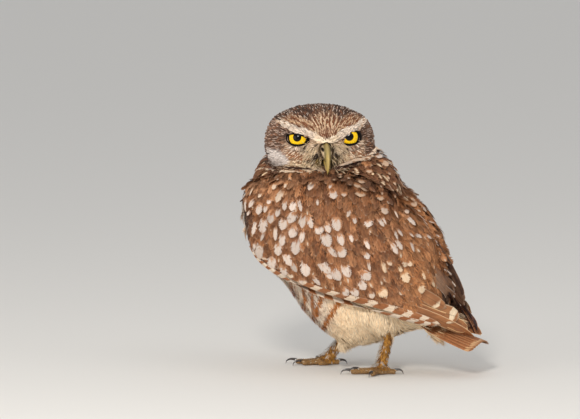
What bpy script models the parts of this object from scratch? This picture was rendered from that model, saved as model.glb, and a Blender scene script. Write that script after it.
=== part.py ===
"""A burrowing owl at life size, standing with its right foot forward and looking back over its left shoulder.

The bird's body faces -Y, its left side is +X, and its soles lie at z = 0. All sizes below are in millimetres
of the owl's own frame, whose origin is on the floor between the feet. The finished model is then shifted so
that the middle of its box stands on the world's origin.
"""

import math

import bmesh
import bpy
import numpy as np
from mathutils import Euler, Vector

MM = 0.001
GAP = 0.3  # free space between two pieces that meet

# Body. Each station is a point on the back, a point on the belly (y and z of both) and a half width.
TRUNK_STATIONS = (
    (8, 129, -42, 123, 16),
    (23, 125, -61.5, 122, 26.5),
    (37, 117, -74.5, 114, 36.5),
    (49, 103, -73, 94, 42),
    (57, 90, -64, 73, 43),
    (63, 78, -43.5, 55, 41),
    (68, 67, -31, 37, 37),
    (70, 57, -14, 21.5, 30),
    (70, 50, 3, 14.5, 22),
    (69, 44, 24, 17.5, 15),
    (68, 40, 46, 25, 10.5),
    (67, 37, 60, 30, 5),
)
TRUNK_POWER = 2.15  # 2 is an ellipse, more is squarer

# Neck. Each station is a centre, a half width and a half depth.
NECK_STATIONS = (
    (0, -14.5, 111, 38.5, 52.5),
    (-1.5, -16, 124, 34, 51),
    (-6, -17.5, 135, 25, 47.5),
    (-8, -18, 146, 16, 37),
)
NECK_POWER = 2.1

# Head, in its own frame: the face looks along -Y and the centre of the skull is the origin.
HEAD_CENTRE = (1, -20, 149.7)
HEAD_TURN = 119  # degrees from straight ahead towards the left shoulder
HEAD_NOD = 5  # degrees that the face looks down
HEAD_ROLL = 0
HEAD_HALF_WIDTH = 35.3
HEAD_FACE_DEPTH = 27
HEAD_NAPE_DEPTH = 30
HEAD_CROWN_HEIGHT = 25.5
HEAD_CHIN_DEPTH = 25
HEAD_POWER = 2.35

EYE_SPREAD = 16.5  # from the middle of the face to each eye's centre
EYE_HEIGHT = 6.4
EYE_RADIUS = 8.0
EYE_CENTRE_DEPTH = 16.6  # the eyeball's centre lies this far in front of the skull's centre
EYE_SPLAY = 8  # degrees that each eye looks outwards

# Relief of the face, seen from the front: a brow ridge, a hollow round each eye, a bridge and cheeks.
BROW_ENDS = ((2, 7), (28, 16.5))
BROW_HALF_WIDTH = 3.0
BROW_HEIGHT = 2.0
HOLLOW_DEPTH = 3.2
HOLLOW_HALF_SIZES = (6, 5.5)
BRIDGE_HEIGHT = 2.6
BRIDGE_HALF_SIZES = (4.5, 7)
CHEEK_HEIGHT = 1.0
CHEEK_PLACE = (20, -9)
CHEEK_HALF_SIZES = (8, 7)
RELIEF_STARTS = 0.25  # how far a direction turns to the front before the relief shows, and how fast it grows
RELIEF_FADE = 0.45

# Bill. Each station is y and z of the centre, a half width and a half height.
UPPER_BILL_STATIONS = (
    (-18, 0.6, 4.6, 4.0),
    (-25, 0.8, 4.4, 4.6),
    (-30.5, -1.8, 3.9, 4.6),
    (-34, -6.4, 3.0, 3.7),
    (-35, -11.4, 1.9, 2.4),
    (-33.8, -15.6, 0.4, 0.5),
)
LOWER_BILL_STATIONS = (
    (-18, -6.8, 3.4, 2.2),
    (-24, -7.8, 2.8, 2.0),
    (-28.6, -10.4, 1.9, 1.5),
    (-30.6, -13.2, 0.6, 0.5),
)
BILL_POWER = 1.9

# Folded left wing. Each station is the lower edge, the upper edge and the bulge of the outer and inner face.
WING_STATIONS = (
    ((25, -62, 96), (23, -67, 117), 3, 9),
    ((31, -57.5, 82), (27, -62, 125), 8, 12),
    ((35, -48, 69.5), (28, -49, 131), 13, 14),
    ((37, -27, 60), (25, -21, 134), 17, 14),
    ((38, 0, 52), (18, 10, 134), 19, 12),
    ((35, 29, 44.5), (11, 38, 120), 18, 8),
    ((27, 58, 36), (6, 62, 93), 12, 4.5),
    ((15, 75, 33), (4, 77, 66), 6, 3),
    ((8, 84, 28.5), (3.5, 82.5, 47), 2.4, 2.4),
    ((6, 90, 26), (4, 88, 34), 1.0, 2),
)

# Tail. Each station is a centre (y and z), a half width, a half thickness and how far the edges droop.
TAIL_STATIONS = (
    (38, 42, 9, 5, 0),
    (56, 35, 15, 3.6, 1.5),
    (74, 28.5, 20, 2.2, 3.0),
    (88, 24, 21.5, 1.4, 3.4),
    (93, 22.5, 14, 0.8, 2.4),
)
TAIL_UP = (0, 0.3, 0.95)
TAIL_POWER = 2.4

# Legs: x and y of each foot's middle, each heel, and the upper and lower end of each thigh.
FOOT_PLACES = {"left": (16, 27), "right": (-16, -23.5)}
SHANK_TOPS = {"left": (16, 38, 45), "right": (-15, 4, 34)}
SHANK_RADII = (4.0, 3.8, 3.7, 4.0, 5.2)  # from the foot's pad up to the heel
PAD_HALF_SIZES = (5.6, 5.6, 3.9)
PAD_CENTRE_HEIGHT = 2.2
THIGH_KNEES = {"left": (20, 24, 45), "right": (-20, -6, 45)}
THIGH_ENDS = {"left": (16.5, 33, 24), "right": (-15.8, -6.5, 21)}
THIGH_RADII = (15, 13.5, 10.5, 6.4)

# Toes: number, heading in degrees from straight ahead (positive turns outwards), length, claw length.
TOES = ((1, 168, 9.5, 7), (2, -26, 13.5, 8), (3, 2, 17.5, 8.5), (4, 66, 13.5, 7.5))
FOOT_HEADINGS = {"left": 24, "right": 10}  # degrees that each foot turns towards the bird's left
TOE_RADIUS = 2.4
TOE_TAPER = 0.22
TOE_START = 1.5  # how far from the foot's middle a toe begins
TOE_HEIGHT = 1.85
TOE_ROOT_RISE = 1.1
TOE_RINGS = 7
TOE_JOINTS = 2.5
KNUCKLE_SWELL = 0.1
CLAW_RADIUS = 1.2
CLAW_TIP_RADIUS = 0.15
CLAW_TAPER = 0.8
CLAW_FLATNESS = 0.8
CLAW_SINK = 0.6  # how far back inside the toe's tip a claw begins
CLAW_ROOT_HEIGHT = 2.8
CLAW_ARCH = 1.1
CLAW_DROP = 2.55
CLAW_RINGS = 8
FLOOR_SLAB = (400, 400, 40)

# How finely the shapes are divided: points round each section, sections for each station, segments of balls.
SIDES = {
    "trunk": 20, "neck": 18, "wing": 18, "tail": 16, "thigh": 14,
    "shank": 12, "bill": 10, "toe": 8, "claw": 6,
}
BODY_STEPS = 2
BILL_STEPS = 3
SEGMENTS = {"head": (28, 16), "eye": (14, 9), "pad": (10, 6)}

# Colour and roughness of each finish.
FINISHES = {
    "brown": ((0.27, 0.16, 0.09), 0.75),
    "white": ((0.74, 0.66, 0.55), 0.8),
    "leg": ((0.52, 0.42, 0.27), 0.8),
    "bill": ((0.48, 0.47, 0.27), 0.4),
    "eye": ((0.85, 0.63, 0.04), 0.08),
    "claw": ((0.05, 0.045, 0.04), 0.35),
}


def material(name, finish):
    """A plain material of this name, with the colour and roughness of the finish."""
    (red, green, blue), roughness = FINISHES[finish]
    made = bpy.data.materials.new(name)
    made.use_nodes = True
    shader = made.node_tree.nodes["Principled BSDF"]
    shader.inputs["Base Color"].default_value = (red, green, blue, 1)
    shader.inputs["Roughness"].default_value = roughness
    shader.inputs["Metallic"].default_value = 0
    made.diffuse_color = (red, green, blue, 1)
    return made


def smooth_path(stations, steps):
    """Rows of numbers joined by Catmull-Rom curves, which are read steps times between each pair of rows."""
    rows = np.array(stations, float)
    padded = np.vstack([2 * rows[0] - rows[1], rows, 2 * rows[-1] - rows[-2]])
    found = []
    for i in range(1, len(rows)):
        before, start, end, after = padded[i - 1 : i + 3]
        for step in range(steps):
            t = step / steps
            bend = 2 * before - 5 * start + 4 * end - after
            twist = 3 * start - before - 3 * end + after
            found.append(start + 0.5 * ((end - before) * t + bend * t**2 + twist * t**3))
    found.append(rows[-1])
    return np.array(found)


def oval(centre, across, up, half_across, half_up, half_down, sides, power=2.0):
    """A closed ring of points: a superellipse whose upper and lower halves may differ in height."""
    points = []
    for k in range(sides):
        angle = 2 * math.pi * k / sides
        c, s = math.cos(angle), math.sin(angle)
        c = math.copysign(abs(c) ** (2 / power), c)
        s = math.copysign(abs(s) ** (2 / power), s)
        height = half_up if s > 0 else half_down
        points.append(Vector(centre) + Vector(across) * (half_across * c) + Vector(up) * (height * s))
    return points


def trunk_rings():
    rings = []
    for back_y, back_z, belly_y, belly_z, width in smooth_path(TRUNK_STATIONS, BODY_STEPS):
        back, belly = Vector((0, back_y, back_z)), Vector((0, belly_y, belly_z))
        depth = (back - belly).length / 2
        up = (back - belly).normalized()
        middle = (back + belly) / 2
        rings.append(oval(middle, (1, 0, 0), up, width, depth, depth, SIDES["trunk"], TRUNK_POWER))
    return rings


def neck_rings():
    return [
        oval((x, y, z), (1, 0, 0), (0, -1, 0), width, depth, depth, SIDES["neck"], NECK_POWER)
        for x, y, z, width, depth in smooth_path(NECK_STATIONS, BODY_STEPS)
    ]


def wing_rings(side):
    """Oval sections whose two faces bulge apart. side is 1 for the left wing, -1 for the right."""
    rows = [(*low, *high, outer, inner) for low, high, outer, inner in WING_STATIONS]
    rings = []
    for row in smooth_path(rows, BODY_STEPS):
        low, high = Vector(row[:3]), Vector(row[3:6])
        low.x, high.x = low.x * side, high.x * side
        up = (high - low).normalized()
        outwards = Vector((side, 0, 0))
        outwards = (outwards - up * outwards.dot(up)).normalized()
        half = (high - low).length / 2
        rings.append(oval((low + high) / 2, up, outwards, half, row[6], row[7], SIDES["wing"]))
    return rings


def tail_rings():
    rings = []
    for y, z, width, thickness, droop in smooth_path(TAIL_STATIONS, BODY_STEPS):
        ring = oval((0, y, z), (1, 0, 0), TAIL_UP, width, thickness, thickness, SIDES["tail"], TAIL_POWER)
        rings.append([p - Vector((0, 0, droop * (p.x / width) ** 2)) for p in ring])
    return rings


def tube_rings(points, radii, sides, flatness=1.0):
    """Round sections along a path of points; a flatness under 1 narrows them from side to side."""
    rings = []
    last = len(points) - 1
    for k, (point, radius) in enumerate(zip(points, radii)):
        ahead = (points[min(k + 1, last)] - points[max(k - 1, 0)]).normalized()
        side = ahead.cross(Vector((0, 0, 1))).normalized()
        up = side.cross(ahead).normalized()
        rings.append(oval(point, side, up, radius * flatness, radius, radius, sides))
    return rings


def tapered_limb(start, end, radii, sides):
    """A straight limb whose radii are spread evenly from start to end."""
    last = len(radii) - 1
    rows = smooth_path([(*start.lerp(end, k / last), radius) for k, radius in enumerate(radii)], BODY_STEPS)
    return tube_rings([Vector(row[:3]) for row in rows], rows[:, 3], sides)


def thigh_rings(side):
    return tapered_limb(Vector(THIGH_KNEES[side]), Vector(THIGH_ENDS[side]), THIGH_RADII, SIDES["thigh"])


def shank_rings(side):
    """The feathered shank, from inside the foot's pad up to the heel inside the thigh's feathers."""
    foot = Vector((*FOOT_PLACES[side], PAD_CENTRE_HEIGHT))
    return tapered_limb(foot, Vector(SHANK_TOPS[side]), SHANK_RADII, SIDES["shank"])


def toe_direction(side, heading):
    """The direction in which a toe of this heading lies on the floor."""
    outwards = 1 if side == "left" else -1
    angle = math.radians(FOOT_HEADINGS[side] + outwards * heading)
    return Vector((math.sin(angle), -math.cos(angle), 0))


def toe_rings(side, heading, length):
    """A toe that starts inside the pad and swells at each joint. The floor cuts its sole flat."""
    root = Vector((*FOOT_PLACES[side], 0))
    ahead = toe_direction(side, heading)
    points, radii = [], []
    for k in range(TOE_RINGS):
        share = k / (TOE_RINGS - 1)
        knuckle = 1 + KNUCKLE_SWELL * math.cos(share * 2 * math.pi * TOE_JOINTS)
        radii.append(TOE_RADIUS * knuckle * (1 - TOE_TAPER * share))
        height = TOE_HEIGHT + TOE_ROOT_RISE * (1 - share) ** 2
        points.append(root + ahead * (TOE_START + share * length) + Vector((0, 0, height)))
    return tube_rings(points, radii, SIDES["toe"])


def claw_rings(side, heading, toe_length, claw_length):
    """A claw that leaves the toe's tip, arches over and comes down to the floor."""
    root = Vector((*FOOT_PLACES[side], 0))
    ahead = toe_direction(side, heading)
    points, radii = [], []
    for k in range(CLAW_RINGS):
        share = k / (CLAW_RINGS - 1)
        along = toe_length - CLAW_SINK + claw_length * math.sin(share * math.pi / 2)
        height = CLAW_ROOT_HEIGHT + CLAW_ARCH * math.sin(share * math.pi) - CLAW_DROP * share**2
        radii.append(max(CLAW_TIP_RADIUS, CLAW_RADIUS * (1 - share) ** CLAW_TAPER))
        points.append(root + ahead * along + Vector((0, 0, height)))
    return tube_rings(points, radii, SIDES["claw"], CLAW_FLATNESS)


def bump(across, up, centre, sizes):
    """A soft mound of height 1 at this centre, with these half sizes across and up."""
    return math.exp(-(((across - centre[0]) / sizes[0]) ** 2 + ((up - centre[1]) / sizes[1]) ** 2) / 2)


def head_relief(x, z):
    """How far the plumage of the face stands out at this place, seen from the front, in mm."""
    across = abs(x)
    inner, outer = Vector(BROW_ENDS[0]), Vector(BROW_ENDS[1])
    run = outer - inner
    share = max(0.0, min(1.0, (Vector((across, z)) - inner).dot(run) / run.length_squared))
    off_brow = (Vector((across, z)) - inner - run * share).length
    return (
        BROW_HEIGHT * math.exp(-((off_brow / BROW_HALF_WIDTH) ** 2) / 2)
        - HOLLOW_DEPTH * bump(across, z, (EYE_SPREAD, EYE_HEIGHT - 1), HOLLOW_HALF_SIZES)
        + BRIDGE_HEIGHT * bump(across, z, (0, 1), BRIDGE_HALF_SIZES)
        + CHEEK_HEIGHT * bump(across, z, CHEEK_PLACE, CHEEK_HALF_SIZES)
    )


def head_point(direction):
    """The head's surface in this direction from the skull's centre: a rounded box with the face's relief."""
    x, y, z = direction
    depth = HEAD_FACE_DEPTH if y < 0 else HEAD_NAPE_DEPTH
    height = HEAD_CROWN_HEIGHT if z > 0 else HEAD_CHIN_DEPTH
    shares = (abs(x) / HEAD_HALF_WIDTH, abs(y) / depth, abs(z) / height)
    reach = sum(share**HEAD_POWER for share in shares) ** (-1 / HEAD_POWER)
    point = direction * reach
    frontness = max(0.0, min(1.0, (-y - RELIEF_STARTS) / RELIEF_FADE))
    return into_place(point + direction * head_relief(point.x, point.z) * frontness)


def into_place(point):
    """From the head's own frame into the owl's."""
    turn = Euler((math.radians(HEAD_NOD), math.radians(HEAD_ROLL), math.radians(HEAD_TURN)), "XYZ")
    return turn.to_matrix() @ Vector(point) + Vector(HEAD_CENTRE)


def eye_point(side, direction):
    """The eyeball's surface, with the sphere's pole turned to the gaze."""
    outwards = 1 if side == "left" else -1
    centre = Vector((outwards * EYE_SPREAD, -EYE_CENTRE_DEPTH, EYE_HEIGHT))
    gaze = Euler((math.radians(90), 0, math.radians(outwards * EYE_SPLAY)), "XYZ").to_matrix()
    return into_place(gaze @ direction * EYE_RADIUS + centre)


def pad_point(side, direction):
    """The low round pad under the shank, where the toes meet."""
    stretched = Vector([part * half for part, half in zip(direction, PAD_HALF_SIZES)])
    return stretched + Vector((*FOOT_PLACES[side], PAD_CENTRE_HEIGHT))


def bill_rings(stations):
    rows = smooth_path(stations, BILL_STEPS)
    rings = []
    for k, (y, z, width, height) in enumerate(rows):
        before, after = rows[max(k - 1, 0)], rows[min(k + 1, len(rows) - 1)]
        ahead = Vector((0, after[0] - before[0], after[1] - before[1])).normalized()
        up = Vector((-1, 0, 0)).cross(ahead).normalized()
        rings.append(oval((0, y, z), (1, 0, 0), up, width, height, height, SIDES["bill"], BILL_POWER))
    return rings


def loft(name, rings, place=Vector):
    """A closed mesh object through rings of equal size, with a fan over each end. place moves each point."""
    bm = bmesh.new()
    loops = [[bm.verts.new(place(point)) for point in ring] for ring in rings]
    sides = len(rings[0])
    for low, high in zip(loops, loops[1:]):
        for k in range(sides):
            bm.faces.new((low[k], low[(k + 1) % sides], high[(k + 1) % sides], high[k]))
    for loop, ring in ((loops[0], rings[0]), (loops[-1], rings[-1])):
        middle = bm.verts.new(place(sum(ring, Vector()) / sides))
        for k in range(sides):
            bm.faces.new((loop[k], loop[(k + 1) % sides], middle))
    return finished(name, bm)


def ball(name, segments, place):
    """A closed mesh object: a sphere whose unit directions place turns into points in mm."""
    bm = bmesh.new()
    bmesh.ops.create_uvsphere(bm, u_segments=segments[0], v_segments=segments[1], radius=1)
    for vert in bm.verts:
        vert.co = place(vert.co.normalized())
    return finished(name, bm)


def finished(name, bm):
    """Writes a mesh made in millimetres to a smooth-shaded object, with its faces pointing out."""
    bmesh.ops.recalc_face_normals(bm, faces=bm.faces)
    if bm.calc_volume(signed=True) < 0:
        bmesh.ops.reverse_faces(bm, faces=bm.faces)
    bmesh.ops.scale(bm, vec=(MM, MM, MM), verts=bm.verts)
    mesh = bpy.data.meshes.new(name)
    bm.to_mesh(mesh)
    bm.free()
    mesh.shade_smooth()
    return bpy.data.objects.new(name, mesh)


def combine(obj, operation, others):
    """Joins each of the other objects to this one, or takes them out of it."""
    for other in others:
        boolean = obj.modifiers.new(f"{operation.lower()}_{other.name}", "BOOLEAN")
        boolean.operation = operation
        boolean.solver = "EXACT"
        boolean.object = other


def as_cutter(obj):
    obj.hide_render = True
    obj.display_type = "WIRE"
    cutters().objects.link(obj)
    return obj


def cutters():
    return bpy.data.collections["cutters"]


def room_for(obj):
    """A cutter that is this shape, as first made, with the gap added all round."""
    room = as_cutter(bpy.data.objects.new(f"{obj.name}_room", obj.data.copy()))
    swell = room.modifiers.new("gap", "DISPLACE")
    swell.strength = GAP * MM
    swell.mid_level = 0
    return room


def floor_slab():
    """A block whose top is the floor, which cuts the soles flat."""
    bm = bmesh.new()
    bmesh.ops.create_cube(bm, size=1)
    for vert in bm.verts:
        x, y, z = vert.co
        vert.co = Vector((x * FLOOR_SLAB[0], y * FLOOR_SLAB[1], (z - 0.5) * FLOOR_SLAB[2]))
    return as_cutter(finished("floor", bm))


def body_pieces():
    """The head, neck, trunk, wings and tail, each clear of its neighbours."""
    head = ball("head", SEGMENTS["head"], head_point)
    neck = loft("neck", neck_rings())
    trunk = loft("trunk", trunk_rings())
    tail = loft("tail", tail_rings())
    bill_upper = loft("bill_upper", bill_rings(UPPER_BILL_STATIONS), into_place)
    bill_lower = loft("bill_lower", bill_rings(LOWER_BILL_STATIONS), into_place)
    trunk_room, head_room, neck_room = room_for(trunk), room_for(head), room_for(neck)
    bill_rooms = [room_for(bill_upper), room_for(bill_lower)]
    combine(bill_lower, "DIFFERENCE", bill_rooms[:1])
    combine(neck, "DIFFERENCE", [trunk_room, head_room, *bill_rooms])
    combine(head, "DIFFERENCE", [trunk_room, *bill_rooms])
    combine(tail, "DIFFERENCE", [trunk_room])
    pieces = {"brown": [head, neck, trunk, tail], "bill": [bill_upper, bill_lower], "eye": []}
    above_legs = [trunk_room]
    for side, sign in (("left", 1), ("right", -1)):
        eye = ball(f"eye_{side}", SEGMENTS["eye"], lambda direction, side=side: eye_point(side, direction))
        combine(head, "DIFFERENCE", [room_for(eye)])
        wing = loft(f"wing_{side}", wing_rings(sign))
        above_legs.append(room_for(wing))
        combine(wing, "DIFFERENCE", [trunk_room, neck_room, head_room])
        if side == "left":
            combine(wing, "DIFFERENCE", bill_rooms)
        pieces["eye"].append(eye)
        pieces["brown"].append(wing)
    combine(tail, "DIFFERENCE", above_legs[1:])
    return pieces, above_legs


def leg_pieces(side, above_legs, floor):
    """One leg: thigh, shank, foot with its toes, and claws."""
    thigh = loft(f"thigh_{side}", thigh_rings(side))
    shank = loft(f"shank_{side}", shank_rings(side))
    foot = ball(f"foot_{side}", SEGMENTS["pad"], lambda direction: pad_point(side, direction))
    combine(shank, "DIFFERENCE", [room_for(thigh), above_legs[0], room_for(foot)])
    combine(thigh, "DIFFERENCE", above_legs)
    claws = []
    for number, heading, length, claw_length in TOES:
        toe = loft(f"toe_{side}_{number}", toe_rings(side, heading, length))
        toe_room = room_for(toe)
        combine(foot, "UNION", [as_cutter(toe)])
        combine(shank, "DIFFERENCE", [toe_room])
        claw = loft(f"claw_{side}_{number}", claw_rings(side, heading, length, claw_length))
        combine(claw, "DIFFERENCE", [toe_room, floor])
        claws.append(claw)
    combine(foot, "DIFFERENCE", [floor])
    return {"white": [thigh], "leg": [shank, foot], "claw": claws}


def centre_on_origin(measured, moved):
    """Shifts everything level so that the middle of the owl's box stands over the origin."""
    bpy.context.view_layer.update()
    graph = bpy.context.evaluated_depsgraph_get()
    corners = []
    for obj in measured.objects:
        evaluated = obj.evaluated_get(graph)
        mesh = evaluated.to_mesh()
        points = np.empty(len(mesh.vertices) * 3, np.float32)
        mesh.vertices.foreach_get("co", points)
        corners += [points.reshape(-1, 3).min(0), points.reshape(-1, 3).max(0)]
        evaluated.to_mesh_clear()
    low, high = np.min(corners, 0), np.max(corners, 0)
    shift = Vector((-(low[0] + high[0]) / 2, -(low[1] + high[1]) / 2, 0))
    for collection in moved:
        for obj in collection.objects:
            obj.location += shift


def main():
    for obj in list(bpy.data.objects):
        bpy.data.objects.remove(obj)
    owl = bpy.data.collections.new("burrowing_owl")
    for collection in (owl, bpy.data.collections.new("cutters")):
        bpy.context.scene.collection.children.link(collection)
    floor = floor_slab()
    body, above_legs = body_pieces()
    for pieces in (body, leg_pieces("left", above_legs, floor), leg_pieces("right", above_legs, floor)):
        for finish, objects in pieces.items():
            for obj in objects:
                obj.data.materials.append(material(obj.name, finish))
                owl.objects.link(obj)
    centre_on_origin(owl, [owl, cutters()])


main()
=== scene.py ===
"""The look of the burrowing owl: a skin, its plumage, eyes, bill, feet and claws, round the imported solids.

Places are in millimetres of the owl's own frame. The bird's body faces -Y, its left is +X and its soles are at
z = 0. The face has a frame of its own: it looks along -Y, its left is +X and the skull's centre is the origin.
"""

import math

import bmesh
import bpy
import numpy as np
from mathutils import Euler, Matrix, Vector
from mathutils.bvhtree import BVHTree

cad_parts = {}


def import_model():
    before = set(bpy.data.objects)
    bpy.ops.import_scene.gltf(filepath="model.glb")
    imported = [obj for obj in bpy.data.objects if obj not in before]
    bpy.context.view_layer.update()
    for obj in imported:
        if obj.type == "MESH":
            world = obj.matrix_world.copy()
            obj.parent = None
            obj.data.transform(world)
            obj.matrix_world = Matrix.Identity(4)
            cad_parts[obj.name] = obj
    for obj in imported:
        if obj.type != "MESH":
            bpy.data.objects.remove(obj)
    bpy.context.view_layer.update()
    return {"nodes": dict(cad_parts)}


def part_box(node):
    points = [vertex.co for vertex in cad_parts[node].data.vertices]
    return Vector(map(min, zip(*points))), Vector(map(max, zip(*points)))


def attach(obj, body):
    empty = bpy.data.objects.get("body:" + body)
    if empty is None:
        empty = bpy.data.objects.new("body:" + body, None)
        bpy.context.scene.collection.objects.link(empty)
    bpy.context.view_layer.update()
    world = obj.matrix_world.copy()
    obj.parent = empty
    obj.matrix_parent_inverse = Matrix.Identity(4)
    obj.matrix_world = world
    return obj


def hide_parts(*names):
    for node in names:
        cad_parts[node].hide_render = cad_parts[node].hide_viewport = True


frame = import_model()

MM = 0.001
SEED = 7

FLESH = ("head", "neck", "trunk", "wing_left", "wing_right", "tail", "thigh_left", "thigh_right",
         "shank_left", "shank_right", "foot_left", "foot_right")

# Where the head is held, as in the solids.
HEAD_CENTRE = Vector((1, -20, 149.7))
HEAD_TURN = 119
HEAD_NOD = 5
EYE_SPREAD = 16.5
EYE_DEPTH = 16.6
EYE_HEIGHT = 6.4
EYE_RADIUS = 8.0

head_turn = Euler((math.radians(HEAD_NOD), 0, math.radians(HEAD_TURN)), "XYZ").to_matrix()


def node_middle(name):
    """The middle of a solid's box, in millimetres of the world."""
    low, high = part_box(name)
    return (low + high) / 2 / MM


# The owl's own origin in the world, worked out from where the solids' eyes are.
between_eyes = (node_middle("eye_left") + node_middle("eye_right")) / 2
owl_origin = between_eyes - head_turn @ Vector((0, -EYE_DEPTH, EYE_HEIGHT)) - HEAD_CENTRE

TURN = np.array(head_turn)
CENTRE = np.array(HEAD_CENTRE)
ORIGIN = np.array(owl_origin)


def to_face(points):
    """Points of the owl's frame, as rows, in the face's frame."""
    return (np.asarray(points) - CENTRE) @ TURN


def from_face(points):
    return np.asarray(points) @ TURN.T + CENTRE


def unit(rows):
    return rows / np.maximum(np.linalg.norm(rows, axis=-1, keepdims=True), 1e-9)


def step(values, low, high):
    """0 below low, 1 above high, and smooth between."""
    share = np.clip((values - low) / (high - low), 0, 1)
    return share * share * (3 - 2 * share)


def blend(a, b, share):
    """From a to b. share has one value for each row."""
    share = np.asarray(share)[..., None]
    return a * (1 - share) + b * share


# The side view that the camera has, in steps of 0.66 mm from its top left corner.
CAMERA_AZIMUTH = 110
CAMERA_ELEVATION = 6
MM_PER_PIXEL = 0.66
IMAGE_SIZE = (580, 419)
ORIGIN_PIXEL = (361.5, 370)  # where the world's origin shows in the picture
CAMERA_DISTANCE = 4000
SENSOR = 36

azimuth, elevation = math.radians(CAMERA_AZIMUTH), math.radians(CAMERA_ELEVATION)
VIEW_BACK = np.array((
    math.sin(azimuth) * math.cos(elevation), -math.cos(azimuth) * math.cos(elevation), math.sin(elevation)
))
VIEW_RIGHT = np.array((math.cos(azimuth), math.sin(azimuth), 0))
VIEW_UP = np.cross(VIEW_BACK, VIEW_RIGHT)


def side_view(points):
    """Where these places show in the side view."""
    points = np.asarray(points) + ORIGIN
    across = ORIGIN_PIXEL[0] + points @ VIEW_RIGHT / MM_PER_PIXEL
    return np.stack([across, ORIGIN_PIXEL[1] - points @ VIEW_UP / MM_PER_PIXEL], 1)


def from_side(spots, tree):
    """The places on a surface under these spots of the side view, and the surface's normals there."""
    places, outs = [], []
    deep = 60.0
    for across, down in spots:
        start = VIEW_RIGHT * (across - ORIGIN_PIXEL[0]) * MM_PER_PIXEL - ORIGIN
        start = start + VIEW_UP * (ORIGIN_PIXEL[1] - down) * MM_PER_PIXEL + VIEW_BACK * 300
        hit = tree.ray_cast(Vector(start), Vector(-VIEW_BACK), 600)
        if hit[0] is None:
            hit = tree.find_nearest(Vector(start - VIEW_BACK * (300 - deep)))
        place = np.array(hit[0])
        deep = (place + ORIGIN) @ VIEW_BACK
        places.append(place)
        outs.append(np.array(hit[1]))
    return np.array(places), np.array(outs)


# Each eye looks its own way. Its lids leave an opening that is flat and slanted above and round below.
GAZE = {1: (-0.10, -0.96, 0.25), -1: (-0.31, -0.92, 0.24)}
IRIS_RADIUS = 6.3
PUPIL_RADIUS = 2.7
UPPER_LID = {1: (1.9, 0.77, -0.132), -1: (1.45, 0.14, -0.03)}  # its height in the middle, its slant and its bend


def eye_frame(side):
    """The middle of an eye in the face's frame, and its outward, upward and forward axes."""
    ahead = unit(np.array(GAZE[side], float))
    up = unit(np.array((0, 0, 1)) - ahead * ahead[2])
    middle = np.array((side * EYE_SPREAD, -EYE_DEPTH, EYE_HEIGHT))
    return middle, side * np.cross(up, ahead), up, ahead


def beyond_lids(side, outward, upward):
    """How far outside the opening of the lids a place on the eye is, in mm from the gaze's axis."""
    height, slant, bend = UPPER_LID[side]
    above = upward - (height + slant * outward + bend * outward**2)
    below = (-4.3 + 0.06 * outward**2) - upward
    return np.maximum(np.maximum(above, below), np.hypot(outward, upward) - IRIS_RADIUS - 0.1)


class Value:
    """A socket of a node tree that adds Math nodes when it is used in arithmetic."""

    def __init__(self, net, socket):
        self.net = net
        self.socket = socket

    def math(self, operation, *others, clamp=False):
        inputs = dict(enumerate((self, *others)))
        made = self.net.node("ShaderNodeMath", {"operation": operation, "use_clamp": clamp}, inputs)
        return Value(self.net, made.outputs[0])

    def __add__(self, other):
        return self.math("ADD", other)

    __radd__ = __add__

    def __mul__(self, other):
        return self.math("MULTIPLY", other)

    __rmul__ = __mul__

    def __sub__(self, other):
        return self.math("SUBTRACT", other)

    def __rsub__(self, other):
        return (self * -1) + other

    def __truediv__(self, other):
        return self.math("DIVIDE", other)

    def __pow__(self, power):
        return self.math("POWER", power)

    def __abs__(self):
        return self.math("ABSOLUTE")

    def clamped(self):
        return self.math("ADD", 0.0, clamp=True)

    def ramp(self, low, high):
        """0 at low and below, 1 at high and beyond, and smooth between. low may be more than high."""
        made = self.net.node(
            "ShaderNodeMapRange",
            {"interpolation_type": "SMOOTHSTEP"},
            {"Value": self, "From Min": low, "From Max": high},
        )
        return Value(self.net, made.outputs["Result"])


class Net:
    """A node tree, of a material or of Geometry Nodes, with one way to add a node."""

    def __init__(self, tree):
        self.tree = tree

    def node(self, kind, settings=None, inputs=None):
        """Adds a node: its settings first, then the value or the link of each socket."""
        made = self.tree.nodes.new(kind)
        for name, setting in (settings or {}).items():
            setattr(made, name, setting)
        for name, value in (inputs or {}).items():
            if isinstance(value, Value):
                self.tree.links.new(value.socket, made.inputs[name])
            else:
                made.inputs[name].default_value = value
        return made

    def value(self, kind, settings=None, inputs=None, output=0):
        return Value(self, self.node(kind, settings, inputs).outputs[output])

    def mix(self, share, a, b):
        """A colour that goes from a to b."""
        settings = {"data_type": "RGBA", "clamp_factor": True}
        return self.value("ShaderNodeMix", settings, {0: share, 6: a, 7: b}, output=2)

    def multiply(self, a, b):
        settings = {"data_type": "RGBA", "blend_type": "MULTIPLY"}
        return self.value("ShaderNodeMix", settings, {0: 1.0, 6: a, 7: b}, output=2)

    def vector(self, operation, *inputs, scale=None):
        sockets = dict(enumerate(inputs))
        if scale is not None:
            sockets["Scale"] = scale
        return self.value("ShaderNodeVectorMath", {"operation": operation}, sockets)

    def parts(self, vector):
        made = self.node("ShaderNodeSeparateXYZ", {}, {0: vector})
        return [Value(self, output) for output in made.outputs]


def linear(red, green, blue):
    """A linear colour from screen values of 0 to 255."""
    return tuple(
        part / 12.92 if part <= 0.04045 else ((part + 0.055) / 1.055) ** 2.4
        for part in (red / 255, green / 255, blue / 255)
    )


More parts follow.
